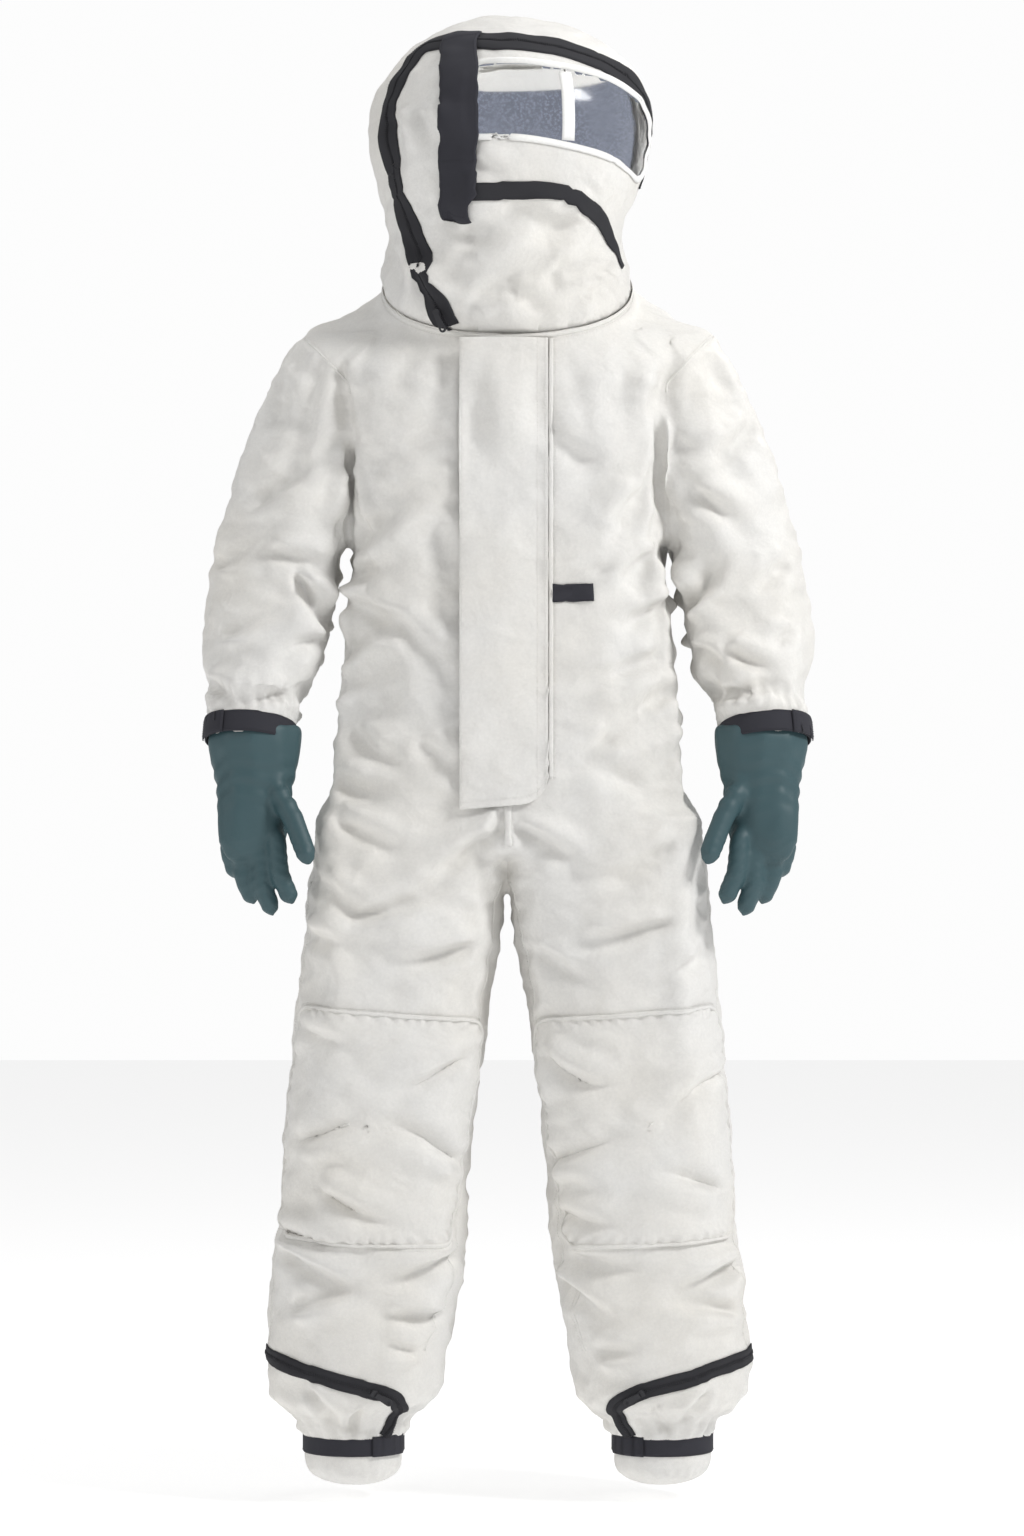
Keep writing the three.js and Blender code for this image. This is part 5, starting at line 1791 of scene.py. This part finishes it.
def knee_patch(side):
    """One knee patch, cut as rings of the leg's own skin, with its welt and stitches."""
    corners = [p.to_3d() for p in rounded(KNEE_CORNERS, KNEE_CORNER_RADIUS)]
    outline = np.array([(p.x, p.y) for p in even(corners, 4.0, closed=True)])
    middle = outline.mean(axis=0)

    def on_leg(spots):
        return [leg_spot(side, math.degrees(x / LEG_RADIUS), y) for x, y in spots]

    def ring(share):
        return on_leg(middle + (outline - middle) * share)

    rings = [ring((k + 0.5) / KNEE_RINGS) for k in range(KNEE_RINGS)] + [on_leg(outline)]
    count = len(outline)
    faces = grid_faces(len(rings), count, closed=True) + [list(range(count))]
    patch = outward(link("patch", [p for row in rings for p in row], faces))
    if sum(p.normal.y for p in patch.data.polygons) > 0:
        patch.data.flip_normals()
    gathered(patch, count, len(rings))
    thickened(patch, 0.0022)
    welt = ribbon("welt", suit.body, rings[-1], *KNEE_WELT, closed=True)
    inner = stitched(skin_of(patch), [ring(0.955)], SEAM_STITCH, 0.0003)
    outer = stitched(suit.body, [ring(1.035)], SEAM_STITCH, 0.0004)
    piece = joined("knee_cloth_" + side, patch, welt, inner, outer)
    dress(piece, "cloth", knee_blend(side), "knee_patch_" + side)
    sheet_of(piece)


class SUIT_OT_knees(bpy.types.Operator):
    """Cuts each knee patch out of the leg's own skin and pipes its edge."""

    bl_idname = "suit.knees"
    bl_label = "Knee patches"

    def execute(self, context):
        for side in SIDES:
            knee_patch(side)
        return {"FINISHED"}


# -------- straps and ankle zips
ANKLE_X = 0.194  # from the middle of the suit to the middle of an ankle
STRAP_THICK = 0.0020
# The ankle zip's line on the left leg, from the outer side down to the strap, in millimetres.
ANKLE_ZIP = [(300, -16, -1276), (266, -84, -1288), (218, -106, -1301), (165, -100, -1315),
             (134, -72, -1333), (137, -58, -1356), (153, -50, -1378)]


def axes_across(axis):
    """Two directions across an axis, the first towards the suit's front."""
    first = axis.cross(Vector((1, 0, 0))).normalized()
    if first.y > 0:
        first = -first
    return first, axis.cross(first)


def ring_route(skin, middle, axis, count=90, stand=0.0, smoothing=0):
    """Points where a plane meets a skin, all round an axis."""
    first, second = axes_across(axis.normalized())
    angles = [2 * math.pi * k / count for k in range(count)]
    ways = [first * math.cos(angle) + second * math.sin(angle) for angle in angles]
    hits = [skin.ray_cast(middle, way, 0.25)[0] for way in ways]
    sizes = np.array([(hit - middle).length if hit else 0.06 for hit in hits])
    for _ in range(smoothing):
        sizes = (np.roll(sizes, 1) + 2 * sizes + np.roll(sizes, -1)) / 4
    return [middle + way * size for way, size in zip(ways, sizes + stand)]


def loop_tube(name, ring, axis, height):
    """A short straight tube through a ring."""
    rows = [[p + axis * s for p in ring] for s in np.linspace(-height / 2, height / 2, 7)]
    made = outward(link(name, *tube_parts(rows, 0, capped=False)))
    middle = sum(ring, Vector()) / len(ring)
    if sum((p.center - middle).dot(p.normal) for p in made.data.polygons) < 0:
        made.data.flip_normals()
    return made


def strap_places(side):
    """Each strap's name, middle, axis, width, body, and its tab's ends as shares of a turn."""
    up = mirror(CUFF_UP, SIDES[side])
    ankle = Vector((SIDES[side] * ANKLE_X, 0, FOOT_Z + 0.0145))
    return (
        ("cuff", mirror(CUFF, SIDES[side]) + up * 0.0135, up, 0.0270, "forearm_" + side, (0.10, 0.24)),
        ("ankle", ankle, Vector((0, 0, 1)), 0.0240, "shin_" + side, (-0.20, -0.07)),
    )


def strap_and_tab(side, name, middle, axis, width, body, tab_ends):
    """A strap all round a sleeve or leg, and the loose end that lies on it."""
    ring = ring_route(suit.body, middle, axis, stand=0.0024, smoothing=30)
    core = loop_tube("core", ring, axis, width * 1.6)
    skin = skin_of(core)
    strap = ribbon("band", skin, ring, *flat_section(width, STRAP_THICK, 0.0002, columns=9), closed=True)
    lines = [[p + axis * s for p in ring] + [ring[0] + axis * s]
             for s in (-width / 2 + 0.002, width / 2 - 0.002)]
    rows = stitched(skin, lines, TAPE_STITCH, 0.0024)
    node = name + "_strap_" + side
    dress(joined(node + "_webbing", strap, rows), "hook_and_loop", body, node)
    count = len(ring)
    turn = count if (axes_across(axis)[1].x > 0) == (SIDES[side] > 0) else -count
    start, end = tab_ends
    line = [ring[round((start + t * (end - start)) * turn) % count] for t in np.linspace(0, 1, 16)]
    tab = ribbon("tab", skin, line, *flat_section(width + 0.001, STRAP_THICK, 0.0030, columns=9))
    edge = axis * (width / 2 - 0.003)
    threads = stitched(skin, [[p + edge, p - edge] for p in (line[-2], line[1])], TAPE_STITCH, 0.0052)
    node = name + "_tab_" + side
    dress(joined(name + "_tab_webbing_" + side, tab, threads), "hook_and_loop", node, node)
    bpy.data.objects.remove(core)


def ankle_zip(side):
    """The zip that runs from a leg's outer side round its front to the ankle strap."""
    skin, sign = suit.body, SIDES[side]
    guides = [(x * MM * sign, y * MM, z * MM) for x, y, z in ANKLE_ZIP]
    line = even([lie(skin, p)[0] for p in even(spline(guides, 160), 0.005)], 0.005)
    tape = ribbon("tape", skin, line, *ANKLE_TAPE)
    teeth = zip_teeth(skin, line, 0.0018, pitch=0.0024)
    edges = [shifted(skin, line, s) for s in (-0.0088, 0.0088)]
    rows = stitched(skin, edges, TAPE_STITCH, 0.0022)
    whole = joined("ankle_zip_" + side, tape, teeth, rows)
    dress(whole, "zip_tape", "shin_" + side, "ankle_zip_tape_" + side)


class SUIT_OT_straps(bpy.types.Operator):
    """Wraps the cuff and ankle straps round their ends, with their loose tabs."""

    bl_idname = "suit.straps"
    bl_label = "Straps and ankle zips"

    def execute(self, context):
        for side in SIDES:
            for place in strap_places(side):
                strap_and_tab(side, *place)
            ankle_zip(side)
        return {"FINISHED"}


# -------- gloves and socks
GLOVE_THICK = SOCK_THICK = 0.0016


def outer_skin(node, name):
    """The outside of a hollow CAD piece, closed at its open end."""
    bm = bmesh.new()
    bm.from_mesh(NODES[node].data)
    bmesh.ops.remove_doubles(bm, verts=bm.verts, dist=1e-5)
    top = max(v.co.z for v in bm.verts)
    rim = [f for f in bm.faces if f.normal.z > 0.9 and f.calc_center_median().z > top - 0.001]
    bmesh.ops.delete(bm, geom=rim, context="FACES_ONLY")
    groups, seen = [], set()
    for vert in bm.verts:
        if vert in seen:
            continue
        group, queue = [], [vert]
        seen.add(vert)
        while queue:
            at = queue.pop()
            group.append(at)
            for edge in at.link_edges:
                other = edge.other_vert(at)
                if other not in seen and edge.link_faces:
                    seen.add(other)
                    queue.append(other)
        groups.append(group)
    groups.sort(key=lambda g: max(v.co.x for v in g) - min(v.co.x for v in g), reverse=True)
    if len(groups) > 1:
        bmesh.ops.delete(bm, geom=[v for g in groups[1:] for v in g], context="VERTS")
    bmesh.ops.holes_fill(bm, edges=[e for e in bm.edges if e.is_boundary])
    bmesh.ops.recalc_face_normals(bm, faces=bm.faces)
    mesh = bpy.data.meshes.new(name)
    bm.to_mesh(mesh)
    bm.free()
    return in_scene(name, mesh)


def worn_round(node, name, voxel):
    """The outside of a CAD piece with its corners rounded."""
    piece = remeshed(outer_skin(node, name), voxel)
    relax(piece, 26, 0.5)
    set_coords(piece, coords(piece) + normals(piece) * 0.0012)
    return piece


def creased(piece, sign):
    """Slack wrinkles across a glove's wrist and its fingers, and a wider gauntlet."""
    at, out = coords(piece), normals(piece)
    up = np.array(mirror(CUFF_UP, sign))
    offset = at - np.array(mirror(CUFF, sign))
    away = offset @ up
    across = at[:, 0] * sign
    wrist = np.exp(-(((away + 0.055) / 0.03) ** 2))
    fingers = step((-away - 0.11) / 0.03)
    move = wrist * 0.0011 * np.sin(away * 300 + across * 95 + 2 * np.sin(across * 70))
    move += fingers * 0.0003 * np.sin(away * 500 + 3 * np.sin(across * 120))
    move += np.array([noise.noise(Vector(p) * 38) for p in at]) * 0.0010
    radial = offset - away[:, None] * up
    flare = 0.13 * step((away + 0.062) / 0.06) + 0.05 * step((away + 0.15) / 0.08)
    set_coords(piece, at + out * move[:, None] + radial * flare[:, None])


def glove(side, sign):
    """A leather glove whose gauntlet reaches into the cuff."""
    up = mirror(CUFF_UP, sign)
    piece = worn_round("glove_" + side, "glove_leather_" + side, 0.0024)
    creased(piece, sign)
    trimmed(piece, mirror(CUFF, sign) + up * 0.03, up)
    thickened(piece, GLOVE_THICK)
    dress(smooth(piece), "glove_leather", "glove_" + side, "glove_" + side)


def sock(side, sign):
    """The gathered sock that closes a leg."""
    piece = worn_round("ankle_sock_" + side, "sock_" + side, 0.0040)
    foot = Vector((sign * ANKLE_X, 0, FOOT_Z - 0.010))
    at = coords(piece)
    wide = 1.10 + 0.10 * step((at[:, 2] - FOOT_Z + 0.05) / 0.045)
    at[:, 0] = foot.x + (at[:, 0] - foot.x) * wide
    at[:, 1] = foot.y + (at[:, 1] - foot.y) * wide
    set_coords(piece, at)
    pleated(piece, foot, Vector((0, 0, 1)), 21, 0.03, 0.0018, -0.02)
    trimmed(piece, Vector((0, 0, FOOT_Z + 0.016)), Vector((0, 0, 1)))
    thickened(piece, SOCK_THICK)
    dress(smooth(piece), "cloth", "shin_" + side, "ankle_sock_" + side)


class SUIT_OT_gloves(bpy.types.Operator):
    """Rounds the gloves and socks into smooth leather and cloth."""

    bl_idname = "suit.gloves"
    bl_label = "Gloves and socks"

    def execute(self, context):
        for side, sign in SIDES.items():
            glove(side, sign)
            sock(side, sign)
        return {"FINISHED"}


# -------- seams and metal
def neck_seam(skin):
    """The seam between hood and coverall."""
    ring = ring_route(skin, NECK - NECK_UP * 0.004, NECK_UP, 160)
    welt = ribbon("neck", skin, ring, *NECK_WELT, closed=True)
    rows = stitched(skin, [[p - NECK_UP * 0.005 for p in ring]], SEAM_STITCH, 0.0005)
    dress(joined("neck_seam", welt, rows), "cloth", "coverall")


def fly_seam(skin):
    """The front seam from the foot of the storm flap to the crotch."""
    heights = np.linspace(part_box("storm_flap")[0].z + 0.01, CROTCH_Z - 0.004, 24)
    line = [Vector((0, front(skin, 0, z), z)) for z in heights]
    welt = ribbon("fly", skin, line, *FLY_WELT)
    lines = [[p + Vector((s, 0, 0)) for p in line] for s in (-0.0065, 0.0065)]
    rows = stitched(skin, lines, SEAM_STITCH, 0.0006)
    dress(joined("fly_seam", welt, rows), "cloth", "coverall")


def armhole_seam(skin, side, face, facing):
    """The upper stretch of an armhole's seam, on the suit's front or back."""
    sign, line = SIDES[side], []
    for z in np.linspace(0.004, -0.086, 26):
        start = Vector((armhole_edge(z) * sign, facing * 0.3, z))
        hit = skin.ray_cast(start, Vector((0, -facing, 0)), 0.3)[0]
        if hit:
            line.append(hit)
    welt = ribbon("seam", skin, line, *FINE_WELT)
    beside = [lie(skin, p + Vector((-0.006 * sign, 0, -0.002)))[0] for p in line]
    rows = stitched(skin, [beside], SEAM_STITCH, 0.0005)
    dress(joined("armhole_seam_" + face + "_" + side, welt, rows), "cloth", "coverall")


def leg_seam(skin, side, name, degrees, swing):
    """A seam down a leg at a bearing, which swings round by some degrees above the ankle."""
    line = [leg_spot(side, degrees + swing * step((-z - 1130) / 150), z)
            for z in np.linspace(-690, -1270, 120)]
    welt = ribbon("seam", skin, line, *FINE_WELT)
    rows = stitched(skin, [shifted(skin, line, 0.005)], SEAM_STITCH, 0.0005)
    dress(joined(name + "_leg_seam_" + side, welt, rows), "cloth", knee_blend(side))


class SUIT_OT_seams(bpy.types.Operator):
    """Runs raised, stitched seams along the neck, the armholes, the middle and the legs."""

    bl_idname = "suit.seams"
    bl_label = "Seams"

    def execute(self, context):
        neck_seam(suit.body)
        fly_seam(suit.body)
        for side in SIDES:
            armhole_seam(suit.body, side, "front", -1)
            armhole_seam(suit.body, side, "back", 1)
            leg_seam(suit.body, side, "inner", -66, 12)
            leg_seam(suit.body, side, "outer", 74, 0)
        return {"FINISHED"}


class SUIT_OT_metal(bpy.types.Operator):
    """Gives the zip sliders and pulls their metal."""

    bl_idname = "suit.metal"
    bl_label = "Sliders and pulls"

    def execute(self, context):
        for name, node in NODES.items():
            if "_zip_slider" in name or "_zip_pull" in name:
                node.data.materials.clear()
                node.data.materials.append(metal_finish())
        return {"FINISHED"}


# -------- the stage
# Soft lamps: place, power and size.
LAMPS = {"key": ((2.9, -1.8, 1.9), 104, 0.9), "fill": ((-3.2, -2.0, 0.9), 22, 1.4),
         "top": ((0.3, 0.4, 2.9), 30, 1.6)}
LAMP_TARGET = Vector((0, 0, -0.5))
GLOW_PLACE = Vector((0, -0.02, 0.23))  # inside the hood, to light its lining
SKY_LIGHT, SKY_SEEN = 0.45, 0.98  # the sky's strength on the suit, and as it is seen
CAMERA_AWAY, CAMERA_SEES = 6.0, 1.92  # metres from the suit, and the height that is taken in
FLOOR_HALF, FLOOR_DROP = 9, 0.02


def pale_floor(tree, shader):
    """A floor that glows enough to stay pale under the suit."""
    shader.inputs["Base Color"].default_value = (0.60, 0.60, 0.60, 1)
    shader.inputs["Roughness"].default_value = 0.9
    shader.inputs["Emission Color"].default_value = (1, 1, 1, 1)
    shader.inputs["Emission Strength"].default_value = 0.60


def studio_floor(low):
    """A wide pale floor just under the suit."""
    z, far = low.z - FLOOR_DROP, FLOOR_HALF
    corners = [(-far, -far, z), (far, -far, z), (far, far, z), (-far, far, z)]
    floor = link("floor", corners, [[0, 1, 2, 3]])
    floor.data.materials.append(material("floor", pale_floor))


def studio_sky(scene):
    """An even white sky, brighter to look at than the light it sheds."""
    scene.world = world = bpy.data.worlds.new("studio")
    world.use_nodes = True
    tree = world.node_tree
    sky = tree.nodes["Background"]
    sky.inputs["Color"].default_value = (1, 1, 1, 1)
    seen = tree.nodes.new("ShaderNodeLightPath").outputs["Is Camera Ray"]
    tree.links.new(ranged(tree, seen, 0, 1, SKY_LIGHT, SKY_SEEN), sky.inputs["Strength"])


def lamp(name, kind, place, power):
    """A lamp of one kind, in its place."""
    made = in_scene(name, bpy.data.lights.new(name, kind))
    made.data.energy, made.location = power, place
    return made


def studio_lamps():
    """Three soft lamps round the suit, and a faint glow inside the hood."""
    for name, (place, power, size) in LAMPS.items():
        made = lamp(name, "AREA", place, power)
        made.data.size = size
        made.rotation_mode = "QUATERNION"
        made.rotation_quaternion = (LAMP_TARGET - Vector(place)).to_track_quat("-Z", "Y")
    glow = lamp("hood_glow", "POINT", GLOW_PLACE, 0.9)
    glow.data.shadow_soft_size, glow.data.specular_factor = 0.06, 0.0
    glow.visible_camera = glow.visible_transmission = glow.visible_glossy = False


def studio_camera(scene, low, high):
    """A level camera in front of the suit."""
    view = bpy.data.cameras.new("camera")
    view.sensor_fit = "VERTICAL"
    view.sensor_height = 36.0
    view.lens = view.sensor_height * CAMERA_AWAY / CAMERA_SEES
    camera = in_scene("camera", view)
    camera.location = (0.005, -CAMERA_AWAY, (low.z + high.z) / 2 - 0.022)
    camera.rotation_euler = (math.pi / 2, 0, 0)
    scene.camera = camera


class SUIT_OT_stage(bpy.types.Operator):
    """Sets the floor, the soft lights and the camera."""

    bl_idname = "suit.stage"
    bl_label = "Stage"

    def execute(self, context):
        low, high = (Vector(c) for c in CAD_BOX)
        studio_floor(low)
        studio_sky(context.scene)
        context.scene.view_settings.view_transform = "Standard"
        studio_lamps()
        studio_camera(context.scene, low, high)
        return {"FINISHED"}


class SUIT_PT_panel(bpy.types.Panel):
    """Lists the suit's sizes and the steps that make it."""

    bl_idname = "SUIT_PT_panel"
    bl_label = "Beekeeping Suit"
    bl_space_type = "VIEW_3D"
    bl_region_type = "UI"
    bl_category = "Suit"

    def draw(self, context):
        for name in GROUPS:
            settings = getattr(context.scene, name)
            for key in settings.bl_rna.properties.keys():
                if key not in {"rna_type", "name"}:
                    self.layout.prop(settings, key)
        for operator in STEPS:
            self.layout.operator(operator.bl_idname)


GROUPS = {"suit_cloth": SuitCloth, "suit_trim": SuitTrim, "suit_glove": SuitGlove}
STEPS = [
    SUIT_OT_stage, SUIT_OT_coverall, SUIT_OT_hood, SUIT_OT_hood_trim, SUIT_OT_flap, SUIT_OT_knees,
    SUIT_OT_straps, SUIT_OT_gloves, SUIT_OT_seams, SUIT_OT_metal,
]


def register():
    for cls in (*GROUPS.values(), *STEPS, SUIT_PT_panel):
        bpy.utils.register_class(cls)
    for name, group in GROUPS.items():
        setattr(bpy.types.Scene, name, PointerProperty(type=group))


def unregister():
    for name in GROUPS:
        delattr(bpy.types.Scene, name)
    for cls in (SUIT_PT_panel, *reversed(STEPS), *GROUPS.values()):
        bpy.utils.unregister_class(cls)


def main():
    register()
    for operator in STEPS:
        area, name = operator.bl_idname.split(".")
        getattr(getattr(bpy.ops, area), name)()


if __name__ == "__main__":
    main()
